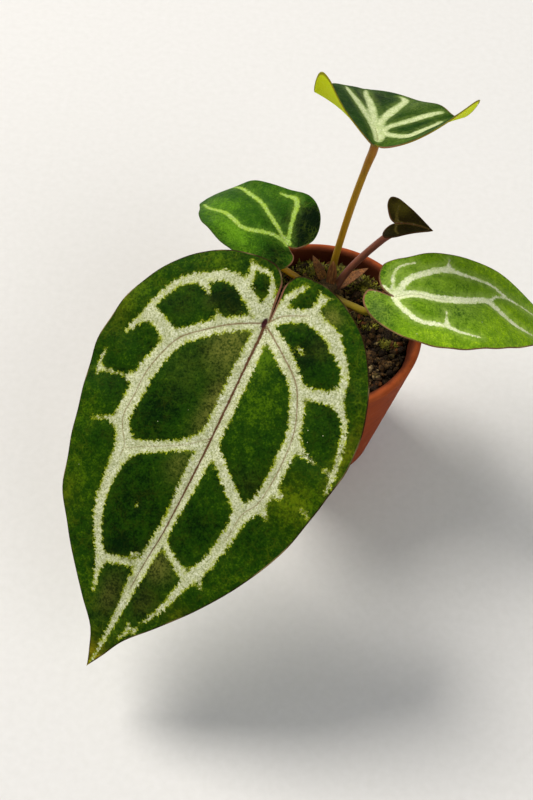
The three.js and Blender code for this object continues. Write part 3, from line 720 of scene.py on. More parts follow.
# Patches of the green: place, reach across and along, lighter or darker, and grey haze
FRONT_PATCHES = [
    (10, -14, 6, 7, -0.5, 0), (21, -1, 8, 6, -0.9, 0), (38, 11, 9, 7, -0.15, 0.05),
    (28, 4.5, 5, 4, -0.1, 0.1), (50, 41, 9, 9, 0.1, 0), (9, 17, 10, 12, 0.1, 0.75),
    (21, 34, 12, 12, -0.12, 0.1), (24, 62, 12, 14, -0.42, 0), (2, 42, 5, 18, -0.1, 0.7),
    (-8, 13, 6, 9, 0.9, 0), (-17, 36, 10, 15, 0.5, 0), (-30, 66, 9, 9, -0.3, 0.05),
    (-25, 2, 9, 8, -0.6, 0), (-29, -4, 6, 5, -0.2, 0.12), (-44, 27, 8, 10, -0.05, 0),
    (-10, -18, 7, 4, -0.35, 0), (13, 99, 12, 16, -0.45, 0), (2, 74, 5, 8, 0.2, 0.5),
    (9, 121, 8, 8, -0.8, 0), (-17, 92, 9, 12, -0.32, 0), (-11, 73, 5, 6, 0.25, 0),
    (-12, 121, 7, 7, -0.2, 0.6), (-13, 140, 7, 10, -0.6, 0.15), (4, 146, 6, 12, -0.5, 0.35),
    (54, 77, 10, 18, 0.15, 0), (64, 22, 7, 14, 0.3, 0.05), (-52, 4, 6, 14, 0.05, 0.05),
    (-62, 36, 6, 16, 0.1, 0), (-51, 62, 10, 10, 0.55, 0), (-42, 105, 12, 20, 0.05, 0),
    (-25, -17.5, 5, 4, 0.4, 0.75), (30, -17, 16, 5, 0.3, 0.05), (40, 112, 9, 16, 0.2, 0),
]
# Yellowing: place, reach across and along, and share
FRONT_WARMTH = [(-1, 184, 7, 10, 1.2), (66, 24, 6, 14, 0.12), (-50, 62, 10, 10, 0.16),
                (-62, 30, 4, 20, 0.2), (46, 117, 6, 12, 0.1), (-30, 136, 10, 6, 0.12)]
# The lip colour is the rosy margin along the sinus, painted lighter as a highlight on its thick edges.
FRONT_COLOURS = dict(
    dark=(3, 26, 1), green=(25, 57, 2), bright=(68, 99, 4), haze=(116, 116, 48), warm=(146, 132, 14),
    fringe=(172, 184, 26), silver=(216, 218, 178), silver_dark=(142, 148, 98), pit=(88, 102, 42),
    line=(80, 37, 13), line_grey=(130, 100, 62), margin=(44, 24, 14), margin_pale=(142, 122, 80),
    lip=(132, 86, 68), under=(104, 128, 48), under_vein=(166, 170, 98), raggedness=1.15, texture=1.1,
    net=0.1, veil=0.03, fringing=1.0, softness=0.1, knot=1.0, quilt=0.2, gloss=0.03, light_edge=0.12,
)


def cubic(start, end, leave, arrive, share):
    """The curve from start to end that has a given slope at each, at a share of the way."""
    curve = (2 * start - 2 * end + leave + arrive) * share ** 3
    return curve + (3 * end - 3 * start - 2 * leave - arrive) * share ** 2 + leave * share + start


def catmull(points, steps):
    """A smooth curve through points: on each span a cubic whose slope at both ends is half the
    chord between the neighbours on either side. The steps are spread evenly over the spans."""
    points = np.array(points, float)
    place = np.linspace(0, len(points) - 1, steps)
    span = np.minimum(place.astype(int), len(points) - 2)
    share = (place - span)[:, None]
    start, end = points[span], points[span + 1]
    leave = (end - points[np.maximum(span - 1, 0)]) / 2
    arrive = (points[np.minimum(span + 2, len(points) - 1)] - start) / 2
    return cubic(start, end, leave, arrive, share)


def even(path, steps):
    """The same path with its points spread evenly along its length."""
    run = np.concatenate([[0], np.cumsum(np.linalg.norm(np.diff(path, axis=0), axis=1))])
    goal = np.linspace(0, run[-1], steps)
    return np.stack([np.interp(goal, run, column) for column in path.T], axis=1)


def relief(leaf, x, y, midrib):
    """Height of the blade over its flat plane: a fold and a cup across it, a channel over the
    midrib's own line, a funnel at the stalk, raised lobes, waves that grow towards the margin,
    and a curl that lifts the shoulders beyond a slanting line on each side."""
    beside = x - np.interp(y, midrib[:, 1], midrib[:, 0], left=0)
    height = leaf["fold"] * (np.hypot(x, 5) - 5) + leaf["cup"] * x * x / 100
    height -= leaf["channel"] * np.exp(-(beside / 5) ** 2)
    height -= leaf["funnel"] * np.exp(-(x * x + y * y) / leaf["funnel_radius"] ** 2)
    height += leaf["lobe_rise"] * np.maximum(0, -y) ** 2 / 100
    share = np.abs(x) / leaf["half_width"]
    for rise, wavelength, phase, side in leaf["waves"]:
        wave = rise * share ** 2 * np.sin(2 * np.pi * (y / wavelength + phase))
        height += np.where(x * side > 0, wave, 0)
    if leaf["curl"]:
        rise, start, angle, plus_share = leaf["curl"]
        slant = np.abs(x) * math.cos(math.radians(angle)) - y * math.sin(math.radians(angle))
        side_share = share * np.where(x > 0, plus_share, 1)
        height += rise * side_share * np.maximum(0, slant - start) ** 2 / 100
    return height


def on_blade(leaf, x, y, height):
    """Lays flat points on the drooping blade: the midrib is an arc of a circle, across stays
    straight, and the height stands square on the arc."""
    heading, pitch, roll = (math.radians(leaf[key]) for key in ("heading", "pitch", "roll"))
    along = np.array([math.cos(heading) * math.cos(pitch), math.sin(heading) * math.cos(pitch),
                      -math.sin(pitch)])
    level = np.array([math.sin(heading), -math.cos(heading), 0])
    across = math.cos(roll) * level - math.sin(roll) * np.cross(level, along)
    out = np.cross(across, along)
    turn = math.radians(leaf["arch"]) / leaf["length"]
    forward = np.sin(turn * y) / turn + height * np.sin(turn * y)
    upward = (np.cos(turn * y) - 1) / turn + height * np.cos(turn * y)
    place = x[..., None] * across + forward[..., None] * along + upward[..., None] * out
    return np.array(leaf["junction"]) + place


def blade_normal(leaf, x, y, midrib, step=0.05):
    """The direction out of the upper face, from the surface a small step to each side."""
    def at(x, y):
        return on_blade(leaf, x, y, relief(leaf, x, y, midrib))
    normal = np.cross(at(x + step, y) - at(x - step, y), at(x, y + step) - at(x, y - step))
    return normal / np.linalg.norm(normal, axis=-1, keepdims=True)


def beside_path(x, y, path):
    """For each flat point: the distance to the nearest place on a path, less half the path's
    width there, the same distance with a sign for the side, the share of the path's points
    and the length of path up to there."""
    lengths = np.hypot(*np.diff(path[:, :2], axis=0).T)
    reached = np.concatenate([[0], np.cumsum(lengths)])
    best = np.full(x.shape, np.inf)
    side = np.full(x.shape, 99.0)
    share = np.zeros(x.shape)
    run = np.zeros(x.shape)
    for k in range(len(path) - 1):
        start, step = path[k], path[k + 1] - path[k]
        square = step[0] ** 2 + step[1] ** 2 + 1e-12
        t = np.clip(((x - start[0]) * step[0] + (y - start[1]) * step[1]) / square, 0, 1)
        off_x = x - start[0] - t * step[0]
        off_y = y - start[1] - t * step[1]
        distance = np.hypot(off_x, off_y)
        gap = distance - (start[2] + t * step[2]) / 2
        nearer = gap < best
        best = np.where(nearer, gap, best)
        side = np.where(nearer, np.copysign(distance, step[0] * off_y - step[1] * off_x), side)
        share = np.where(nearer, (k + t) / (len(path) - 1), share)
        run = np.where(nearer, reached[k] + t * lengths[k], run)
    return best, side, share, run


def blade_grid(leaf):
    """The flat grid of a blade. Each column runs from a point of the midrib to a point of the
    margin. The columns fan out from the stalk's junction over the lobes, and then step along the
    midrib, slowly at first, so that no two cross. The last rows lie close to the margin."""
    tip = (0, leaf["length"])
    half = leaf["columns"] // 2 + 1
    sides = [even(catmull([leaf["notch"], *leaf[key], tip], 1500), half)
             for key in ("plus_side", "minus_side")]
    passed = [np.flatnonzero(side[:, 1] < 0)[-1] / (half - 1) for side in sides]
    begin = min(passed) - WALK_LEAD
    share = np.maximum(0, np.linspace(0, 1, half) - begin) / (1 - begin)
    walk = WALK_SHARE * leaf["length"] * share ** WALK_POWER
    margin = np.concatenate([sides[0][:-1], sides[1][::-1]])
    spine_y = np.concatenate([walk[:-1], walk[::-1]])
    spine = np.stack([np.zeros_like(spine_y), spine_y], axis=1)
    reach = np.linalg.norm(margin - spine, axis=1)

    def rows(count):
        close = np.minimum(MARGIN_ROUND / reach, 0.2)
        main = np.linspace(0, 1, count)[:, None] * (1 - close)
        rim = 1 - close * np.array(RIM_SHARES)
        return np.concatenate([main, rim])

    def flat(shares):
        return spine + shares[..., None] * (margin - spine)
    upper, under = flat(rows(leaf["rows"])), flat(rows(leaf["under_rows"]))[::-1]
    return upper, under, margin


def smooth_least(values, softness):
    """The least of several fields with rounded corners: minus the softness times the logarithm
    of the sum of the exponentials of minus each field over the softness."""
    least = np.min(values, axis=0)
    total = sum(np.exp(-np.minimum(value - least, 40 * softness) / softness) for value in values)
    return least - softness * np.log(total)


def add_blade(name, node, leaf, veins, lines, patches, warmth, material, slot):
    """Builds one blade with its vein and colour fields, one number for each point of the mesh."""
    upper, under, margin = blade_grid(leaf)
    flat = np.concatenate([upper, under]).reshape(-1, 2)
    is_under = np.repeat([0.0, 1.0], [upper[..., 0].size, under[..., 0].size])
    x, y = flat.T
    paths = {key: catmull(points, 6 * len(points) - 5) for key, points in veins.items()}
    midrib = paths["midrib"]
    fields = {key: beside_path(x, y, path) for key, path in paths.items()}
    gaps = np.array([gap for gap, _, _, _ in fields.values()])
    silver = smooth_least(gaps, SILVER_BLEND)
    runs = np.array([np.copysign(run + VEIN_APART * number, side)
                     for number, (_, side, _, run) in enumerate(fields.values())])
    vein_run = np.take_along_axis(runs, gaps.argmin(axis=0)[None], axis=0)[0]
    line_side = np.full(x.shape, 9.0)
    line_half = np.zeros(x.shape)
    line_brown = np.zeros(x.shape)
    for key, (first, last, run, brown) in lines.items():
        _, side, share, _ = fields[key]
        half = np.clip(first + (last - first) * share / run, last, first) / 2
        half = np.where(share > run, 0, half)
        nearer = np.abs(side) < np.abs(line_side)
        line_side = np.where(nearer, side, line_side)
        line_half = np.where(nearer, np.where(np.abs(side) < LINE_REACH, half, 0), line_half)
        line_brown = np.where(nearer, brown * (1 - 0.5 * np.clip(share / run, 0, 1)), line_brown)
    loop = np.concatenate([margin, margin[:1]])[::2]
    edge = beside_path(x, y, np.concatenate([loop, np.zeros((len(loop), 1))], axis=1))[0]

    def spot(at_x, at_y, reach_x, reach_y):
        return np.exp(-((x - at_x) / reach_x) ** 2 - ((y - at_y) / reach_y) ** 2)
    tone, haze, warm = np.zeros((3, *x.shape))
    for *place, lighter, grey in patches:
        tone += lighter * spot(*place)
        haze = np.maximum(haze, grey * spot(*place))
    for *place, share in warmth:
        warm = np.maximum(warm, share * spot(*place))
    rib = np.exp(-(line_side / RIB_REACH) ** 2) * (line_half > 0)
    bulge = CELL_BULGE * (1 - np.exp(-np.maximum(silver, 0) / 4)) * (1 - np.exp(-edge / 6))
    sheet = BLADE_SHEET / 2 * np.sqrt(1 - (1 - np.clip(edge / MARGIN_ROUND, 0, 1)) ** 2)
    below = -sheet - RIB_BELOW * rib * (1 - np.exp(-edge / 3))
    raised = np.where(is_under > 0, below, sheet - RIB_SUNK * rib)
    height = relief(leaf, x, y, midrib)
    normal = blade_normal(leaf, x, y, midrib)
    points = on_blade(leaf, x, y, height) + (raised + bulge - BLADE_DROP)[:, None] * normal
    columns = upper.shape[1]
    points, faces, kept = weld(points, grid_faces(len(flat) // columns, columns))
    off_midrib = np.abs(x - np.interp(y, midrib[:, 1], midrib[:, 0]))
    tints = {"silver": silver, "line_side": line_side, "line_half": line_half, "brown": line_brown,
             "edge": edge, "tone": tone, "haze": haze, "under": is_under, "run": vein_run,
             "lateral": (y - LATERAL_SLANT * off_midrib) / leaf["lateral"], "warm": warm,
             "knot": spot(leaf["knot_x"], *KNOT), "sinus": spot(0, *SINUS)}
    tints = {label: values[kept] for label, values in tints.items()}
    return add_piece(name, points, faces, material, slot, [node], tints, flat[kept] / FLAT_SPAN + 0.5)


def cells(tree, size_mm, feature="F1", output="Distance", wobble_mm=0):
    """Cells about size_mm across: the distance to their middles or edges, or a tint for each.
    A wobble shifts the place by a noise as large as the cells, so that the edges bend."""
    place = object_place(tree)
    if wobble_mm:
        shift = add_node(tree, "TexNoise", {}, {"Scale": 1 / (size_mm * MM), "Vector": place}, "Color")
        place = add_node(tree, "VectorMath", {"operation": "MULTIPLY_ADD"},
                         {0: shift, 1: (wobble_mm * MM,) * 3, 2: place})
    return add_node(tree, "TexVoronoi", {"feature": feature},
                    {"Scale": 1 / (size_mm * MM), "Vector": place}, output)


def noise_along(place, size_mm, detail, roughness):
    """Noise from 0 to 1 along one number in millimetres."""
    return add_node(place.tree, "TexNoise", {"noise_dimensions": "1D"},
                    {"Scale": 1 / size_mm, "Detail": detail, "Roughness": roughness, "W": place})


def velvet_material(name, colours):
    """A living velvet leaf. The green runs from dark to bright by the patches given for each
    blade and by cloudy noise, with a fine net of small veins. A toothed edge parts it from the
    silver bands, whose grainy cells carry painted glints. Brown lines, a thin margin and the
    paler underside follow."""
    material, tree, shader = new_material(name, 0.5)
    texture = colours["texture"]
    edge = attribute(tree, "edge")
    clouds = noise(tree, 15, 4, 0.6) - 0.5
    mottle = noise(tree, 3.4, 5, 0.68) - 0.5
    grain = noise(tree, 1.0, 3, 0.7) - 0.5
    tone = attribute(tree, "tone") + (clouds * 1.2 + (mottle + grain) * 2.0) * texture
    tone = tone + ease(edge, 16, 3, 0.0, colours["light_edge"])
    green = mix_colours(ease(tone, -0.8, 0.2), colours["dark"], colours["green"])
    green = mix_colours(ease(tone, 0.1, 1.0), green, colours["bright"])
    coarse = ease(cells(tree, 5.5, "DISTANCE_TO_EDGE", wobble_mm=1.6), 0.1, 0.0)
    minute = ease(cells(tree, 1.9, "DISTANCE_TO_EDGE", wobble_mm=0.5), 0.16, 0.0, 0.0, 0.7)
    rows = clouds * 0.9 + attribute(tree, "lateral")
    side_veins = ease(reckon("PINGPONG", rows, 0.5), 0.07, 0.0)
    net = reckon("MAXIMUM", reckon("MAXIMUM", coarse, minute), side_veins)
    shown = ease(edge, 18, 2, 0.25, 0.8) * ease(noise(tree, 6, 3), 0.36, 0.66) * colours["net"]
    green = mix_colours(net * shown, green, colours["fringe"])
    silver_field = attribute(tree, "silver")
    speckle = grain * 1.2 + mottle
    haze = attribute(tree, "haze") * ease(speckle, -0.2, 0.16, 0.2, 1.0)
    veil = ease(silver_field, 4.5, 0.3) * ease(mottle, -0.12, 0.12, 0.35, 1.0) * colours["veil"]
    green = mix_colours(reckon("MAXIMUM", haze, veil), green, colours["haze"])
    warm = attribute(tree, "warm") * ease(mottle, -0.1, 0.1, 0.3, 1.0)
    green = mix_colours(warm, green, colours["warm"])
    lobes = noise(tree, 1.9, 3, 0.65) - 0.5
    bent = lobes * 4.5 + attribute(tree, "run")
    teeth = noise_along(bent, 1.5, 3, 0.7) - 0.5
    inside = silver_field + (lobes * 3.0 + teeth * 3.4 + grain * 2.0) * colours["raggedness"]
    fringe = ease(inside, 0.75, 0.1) * ease(noise(tree, 3.1, 3), 0.3, 0.6, 0.25, 0.95)
    green = mix_colours(fringe * colours["fringing"], green, colours["fringe"])
    glitter = noise(tree, 0.85, 4, 0.75)
    silver = mix_colours(ease(glitter, 0.36, 0.6), colours["silver_dark"], colours["silver"])
    drift = ease(noise(tree, 6, 3), 0.36, 0.66, 0.0, 0.4)
    silver = mix_colours(drift, silver, colours["silver_dark"])
    # Painted glints: single silver cells made near white, as if catching the light.
    painted_glint = ease(cells(tree, 0.75, output="Color"), 0.66, 0.86) * texture
    silver = mix_colours(painted_glint * 0.34, silver, (246, 248, 226))
    pits = ease(noise(tree, 0.9, 3, 0.7), 0.4, 0.3, 0.0, 0.6)
    silver = mix_colours(pits * texture, silver, colours["pit"])
    worn = ease(noise(tree, 3.2, 4, 0.6), 0.42, 0.68) * 0.7
    silver = mix_colours(worn * ease(inside, -1.8, -0.1), silver, colours["fringe"])
    is_silver = ease(inside, colours["softness"], -colours["softness"])
    colour = mix_colours(is_silver, green, silver)
    half = attribute(tree, "line_half") * ease(noise(tree, 2, 3), 0.3, 0.7, 0.7, 1.25)
    past = reckon("ABSOLUTE", attribute(tree, "line_side")) - half
    has_line = ease(half, 0.02, 0.1)
    brown = attribute(tree, "brown")
    line = mix_colours(ease(brown, 0.15, 0.75), colours["line_grey"], colours["line"])
    halo = ease(past, 0.9, 0.0, 0.0, 0.3) * has_line
    colour = mix_colours(halo * brown, colour, colours["line"])
    on_line = ease(past, 0.14, -0.12) * has_line * ease(brown, 0.0, 0.8, 0.45, 0.92)
    colour = mix_colours(on_line, colour, line)
    knot = ease(attribute(tree, "knot"), 0.3, 0.75) * colours["knot"]
    colour = mix_colours(knot, colour, (58, 26, 30))
    specks = ease(cells(tree, 9), 0.03, 0.02) * ease(noise(tree, 25, 1), 0.5, 0.52)
    colour = mix_colours(specks * 0.8, colour, (210, 206, 168))
    sinus = attribute(tree, "sinus")
    rim = ease(edge + grain * 0.5 + sinus * -0.3, 0.7, 0.3)
    faded = ease(noise(tree, 22, 2), 0.5, 0.64)
    rim_colour = mix_colours(faded, colours["margin"], colours["margin_pale"])
    # Along the sinus the margin takes the lip colour: the lobes' own rosy margin with a painted
    # highlight on their thick edges.
    rim_colour = mix_colours(ease(sinus, 0.2, 0.6), rim_colour, colours["lip"])
    colour = mix_colours(rim * 0.9, colour, rim_colour)
    under = mix_colours(ease(clouds, -0.3, 0.3, 0.0, 0.5), colours["under"], colours["under_vein"])
    under = mix_colours(ease(silver_field, 0.4, -1.2, 0, 0.75), under, colours["under_vein"])
    under = mix_colours(ease(edge, 0.8, 0.3, 0, 0.7), under, colours["margin"])
    is_under = ease(attribute(tree, "under"), 0.4, 0.6)
    colour = mix_colours(is_under, colour, under)
    join(shader.inputs["Base Color"], colour)
    nap = (grain + mottle) * 0.7 + is_silver * (glitter * 0.8 + 0.3) + net * -colours["quilt"]
    add_bump(shader, nap, 0.3, 0.85)
    join(shader.inputs["Roughness"], ease(is_silver, 0, 1, 0.6, 0.44))
    shader.inputs["Specular IOR Level"].default_value = colours["gloss"]
    shader.inputs["Sheen Weight"].default_value = 0.02
    shader.inputs["Sheen Roughness"].default_value = 0.4
    shader.inputs["Sheen Tint"].default_value = linear((120, 170, 60))
    return material


add_blade("blade_front", "leaf_front", FRONT, FRONT_VEINS, FRONT_LINES, FRONT_PATCHES, FRONT_WARMTH,
          velvet_material("velvet_front", FRONT_COLOURS), "velvet_blade")


# Right blade
# A younger blade, brighter and smoother, held level and drooping to its tip.
RIGHT = dict(
    junction=(34, -14, 141), heading=10, pitch=2, roll=2, arch=44, length=100, half_width=30, fold=0.04,
    cup=0.08, channel=0.8, funnel=1.4, funnel_radius=7, lobe_rise=0.5, curl=None,
    waves=[(1, 42, 0.2, 1), (1, 38, 0.6, -1), (0.4, 17, 0, 1)], notch=(-0.4, -1.2),
    plus_side=[(-1.2, -4), (-3, -9), (-3.2, -13.5), (1.2, -16.4), (7.4, -16.3), (15, -12.9),
               (22.6, -5.2), (28.8, 3.3), (31.3, 13.3), (31.6, 26), (30, 41.5), (25, 57.5), (18.6, 73),
               (11, 87), (4.3, 95)],
    minus_side=[(-1.8, -3.6), (-4.2, -6.2), (-8.2, -7.3), (-12.4, -6.7), (-17.5, -4), (-20.6, 2),
                (-22.2, 9), (-24.4, 18), (-25, 28), (-25.3, 42), (-22, 56), (-16.2, 69.8), (-9, 83.5),
                (-3.3, 94.5)],
    columns=260, rows=56, under_rows=16, knot_x=0, lateral=5.5,
)
RIGHT_VEINS = dict(
    midrib=[(0, 0, 3.6), (-0.9, 9.6, 4.3), (1.5, 22, 4.2), (0.7, 35.7, 4), (-1.7, 47.7, 3.4),
            (1.2, 53.2, 3.3), (6.8, 60.8, 2.9), (9.3, 66.7, 1.9), (11.3, 75.1, 1.1)],
    upper=[(-1, 0, 3), (-8.5, 7, 3.4), (-11.5, 13.5, 3.2), (-14.3, 21.5, 3.2), (-15.7, 28.6, 3.4),
           (-14.6, 35.1, 2.2), (-13.4, 43.5, 1.8), (-11.8, 52.1, 1.6), (-8.6, 57.8, 1.5),
           (-6.3, 62, 1.4), (-4.7, 69.4, 1.2), (-2.2, 80.3, 0.7)],
    upper_spur=[(-15.7, 28.6, 2), (-18.7, 29.3, 1.1), (-21.7, 29.9, 0.5)],
    lower=[(0, 0, 2.8), (5.1, 0.3, 3.2), (12.7, 4.7, 3.2), (16.3, 9, 2.9), (17.6, 16.3, 2.8),
           (18.8, 22.2, 2.2), (20.6, 27, 1.8), (22.5, 33.3, 1.2), (23.8, 38.1, 0.6)],
    lower_spur=[(9.1, 23.5, 0.6), (13, 23, 1.3), (17.5, 22.4, 2)],
    upper_lobe=[(-2, -0.6, 2), (-10.2, -0.2, 1.5), (-15.4, 3, 1.2), (-17.3, 6.7, 1),
                (-18.5, 11.9, 0.5)],
    lower_lobe=[(-1, -1, 1.6), (-4.9, -4.8, 1.4), (-5.3, -8.2, 1), (-2.6, -10, 0.6)],
    link=[(-2.4, 50.8, 1.8), (-4.8, 54.1, 1), (-6.5, 60.7, 1.1)],
)
RIGHT_LINES = {"midrib": (0.4, 0.3, 0.3, 0.3)}
RIGHT_PATCHES = [
    (5, 30, 16, 16, -0.2, 0.25), (-8, 20, 7, 14, 0.1, 0.2), (24, 20, 7, 20, 0.5, 0.1),
    (-22, 20, 5, 20, -0.1, 0), (8, -11, 15, 8, -0.75, 0.25), (10, 60, 14, 14, 0.5, 0),
    (-18, 50, 7, 14, 0.4, 0), (-12, -3, 6, 5, -0.5, 0), (0, 88, 12, 10, 0.3, 0),
]
RIGHT_COLOURS = dict(FRONT_COLOURS,
    dark=(40, 80, 3), green=(100, 140, 6), bright=(152, 190, 6), haze=(156, 178, 88),
    warm=(136, 164, 12), fringe=(160, 190, 50), silver=(246, 248, 210), silver_dark=(214, 224, 170),
    pit=(160, 182, 100), line=(120, 84, 60), line_grey=(160, 168, 112), margin=(104, 66, 46),
    margin_pale=(140, 104, 72), under=(112, 142, 48), under_vein=(172, 188, 96), raggedness=0.5,
    texture=1.0, net=0.45, veil=0.5, fringing=0.4, softness=0.35, knot=0.0, quilt=0.9, gloss=0.08,
    light_edge=0.1,
)
add_blade("blade_right", "leaf_right", RIGHT, RIGHT_VEINS, RIGHT_LINES, RIGHT_PATCHES, [],
          velvet_material("velvet_right", RIGHT_COLOURS), "velvet_blade")


# Left blade
# A blade of the same age that arches away over the rim, cupped along its midrib.
LEFT = dict(
    junction=(-20, 23, 128), heading=137, pitch=-20, roll=3, arch=78, length=71, half_width=29,
    fold=0.04, cup=0.3, channel=0.8, funnel=1.2, funnel_radius=7, lobe_rise=0.6, curl=None,
    waves=[(1.3, 36, 0.1, 1), (1, 40, 0.5, -1), (0.5, 15, 0.2, 1), (0.5, 17, 0.6, -1)], notch=(0, -1.2),
    plus_side=[(0.8, -3.5), (2.8, -5.3), (7, -6.4), (13, -6.2), (19, -3), (24, 3), (26.8, 11),
               (24.6, 20.4), (20.3, 31), (18, 42.2), (14, 53), (8, 61.5), (3, 68)],
    minus_side=[(-0.8, -4), (-2, -8), (-6, -10), (-12, -9.8), (-19, -7), (-25.5, 0), (-29, 10),
                (-30.3, 21), (-28.2, 32), (-22.2, 43), (-14.4, 52.5), (-8.3, 61.5), (-3, 68)],
    columns=260, rows=56, under_rows=16, knot_x=0, lateral=5.5,
)
LEFT_VEINS = dict(
    midrib=[(0, 0, 1.6), (1.7, 9.5, 1.8), (3.8, 18, 2), (6.6, 26.9, 2.1), (8.5, 37.9, 2), (11, 49, 1.3),
            (11.5, 56, 0.6)],
    left=[(0.5, 0, 1.8), (-2.9, 6.8, 2), (-7.5, 12, 2.2), (-12.7, 17.6, 2.4), (-14.1, 22.8, 2.4),
          (-12.4, 34, 2.4), (-13.6, 44.6, 1.6), (-10, 54, 0.7)],
    right=[(1, 0, 1.4), (5.8, 4.9, 1.5), (11.7, 9.4, 1.8), (17.8, 13, 2.4), (20.2, 16.9, 2.6),
           (18.8, 21.5, 1.6), (18, 25, 0.5)],
)
LEFT_LINES = {"midrib": (0.4, 0.3, 0.3, 0.3)}
# The dark patches over the two lobes, at (17, 2) and (-13, -3), are partly the blade's own darker green
# and partly painted shade.
LEFT_PATCHES = [
    (17, 2, 10, 9, -1.5, 0), (8, -3, 8, 5, -0.7, 0), (-4, 25, 8, 12, 0.1, 0.05),
    (-20, 20, 8, 14, 0.8, 0.2), (-13, -3, 10, 7, -0.7, 0.0), (-8, 42, 8, 12, 0.6, 0.1),
    (14, 28, 6, 10, 0.1, 0.1),
]
LEFT_COLOURS = dict(RIGHT_COLOURS,
    dark=(4, 22, 2), green=(38, 78, 6), bright=(92, 140, 10), haze=(116, 152, 56),
    silver=(168, 196, 92), silver_dark=(140, 174, 68), pit=(96, 144, 40), margin=(56, 76, 20),
    margin_pale=(100, 120, 42), veil=0.25, net=0.12, texture=0.6, gloss=0.05,
)
add_blade("blade_left", "leaf_left", LEFT, LEFT_VEINS, LEFT_LINES, LEFT_PATCHES, [],
          velvet_material("velvet_left", LEFT_COLOURS), "velvet_blade")


# Back blade
# The tallest blade, seen from behind its lobes. Its shoulders curl up, so that their lower face
# shows on both sides: yellow-green on a blade that is still hardening, and painted brighter as a
# glow of light shining through the blade from behind.
BACK = dict(
    junction=(16, 29, 199), heading=91.2, pitch=19.6, roll=7.6, arch=14.4, length=84, half_width=34,
    fold=0.21, cup=0.22, channel=0.8, funnel=1.5, funnel_radius=8, lobe_rise=1.5,
    curl=(6.8, -5.4, 55.4, 0.27), waves=[(1.5, 40, 0.3, 1), (1.5, 44, 0.1, -1)], notch=(0, -1.4),
    plus_side=[(1, -2.8), (2.6, -6.5), (6.4, -10.6), (12.1, -12.6), (18.6, -12), (26, -9.4),
               (34.1, -4.2), (41.3, 4), (40.3, 15.6), (34.4, 30), (28.7, 43.7), (20, 60), (11, 73),
               (4, 81)],
    minus_side=[(-0.9, -4), (-2.8, -6.2), (-6.6, -5), (-11.1, -1.7), (-15.9, 1.3), (-20.6, 3.2),
                (-27.6, 6.3), (-32.3, 13), (-31.2, 25), (-26.3, 38.3), (-18.8, 55.6), (-10.4, 69.5),
                (-3.9, 79.5)],
    columns=260, rows=56, under_rows=22, knot_x=0, lateral=5.5,
)
BACK_VEINS = dict(
    midrib=[(1, 4, 1.8), (-0.4, 20, 3.4), (-0.8, 43, 4.4), (-2, 65.5, 3), (-1, 78, 1)],
    left=[(0.5, 5, 1.8), (-1.8, 17.5, 3.4), (-7, 38.3, 4.8), (-11.7, 52.7, 3.6), (-13, 60, 1.4)],
    right=[(1.4, 4, 1.8), (3.4, 23.1, 3.4), (8.7, 36.1, 5), (16.2, 52.9, 3.6), (15, 62, 1.4)],
    right_side=[(1.5, 4, 1.8), (4.9, 14.4, 3), (11.5, 20, 4), (21.1, 26.5, 4.4), (28.1, 29.3, 3.4),
                (31.2, 29.4, 1.6)],
    right_lobe=[(1.8, 5, 1.8), (4.4, 8.6, 2.6), (8.5, 5.9, 3.8), (14.8, 2.7, 4.8), (20.3, 7, 5),
                (25, 12, 4.6), (30, 19.5, 2)],
)
BACK_LINES = {"midrib": (0.5, 0.3, 0.2, 0.4)}
BACK_PATCHES = [
    (3, 60, 8, 14, -0.6, 0), (20, 42, 8, 10, 0.1, 0.55), (-6, 50, 4, 12, -0.4, 0),
    (10, -4, 14, 6, 0.4, 0.2), (-16, 30, 6, 12, -0.3, 0),
]
# The underside colour is the young blade's own yellow-green, made brighter as a painted glow of light
# shining through from behind.
BACK_COLOURS = dict(RIGHT_COLOURS,
    dark=(8, 30, 2), green=(26, 60, 3), bright=(78, 114, 8), haze=(118, 140, 62), fringe=(130, 160, 60),
    silver=(222, 230, 176), silver_dark=(168, 184, 120), margin=(110, 80, 30),
    margin_pale=(124, 124, 32), under=(222, 236, 1), under_vein=(236, 242, 56), raggedness=0.3,
    softness=0.8, gloss=0.03, net=0.2, texture=0.5,
)
add_blade("blade_back", "leaf_back", BACK, BACK_VEINS, BACK_LINES, BACK_PATCHES, [],
          velvet_material("velvet_back", BACK_COLOURS), "velvet_blade")


# Young blade
# The newest leaf, half unfolded and still bronze brown on a rosy stalk.
YOUNG = dict(
    junction=(33.4, 34.7, 138), heading=2, pitch=-2, roll=0, arch=30, length=20, half_width=13,
    fold=0.35, cup=0.4, channel=0.3, funnel=0.6, funnel_radius=3, lobe_rise=1, curl=None, waves=[],
    notch=(0, -0.8),
    plus_side=[(0.6, -2), (2.5, -4), (6.5, -6.2), (11.5, -7), (14.5, -5.3), (13.3, -1), (10, 4),
               (6.8, 9), (3.8, 14), (1.5, 17.8)],
    minus_side=[(-0.6, -2), (-2.5, -3.5), (-6, -4.4), (-10, -4.6), (-13.2, -3), (-12.8, 0.5), (-9.8, 5),
                (-6.8, 9.5), (-3.8, 14), (-1.5, 17.8)],
    columns=140, rows=26, under_rows=14, knot_x=0, lateral=2.5,
)
YOUNG_VEINS = dict(
    midrib=[(0, 0, 0.7), (0, 8, 0.7), (0, 17, 0.3)],
    left=[(0, 0, 0.5), (-5, 0, 0.5), (-9, 1, 0.3)],
    right=[(0, 0, 0.5), (6, -1, 0.5), (10, 0, 0.3)],
)
YOUNG_LINES = {"midrib": (0.5, 0.3, 1.0, 1.0)}
YOUNG_PATCHES = [(-8, 2, 4, 5, 0.9, 0.3), (6, 2, 6, 5, -0.2, 0)]
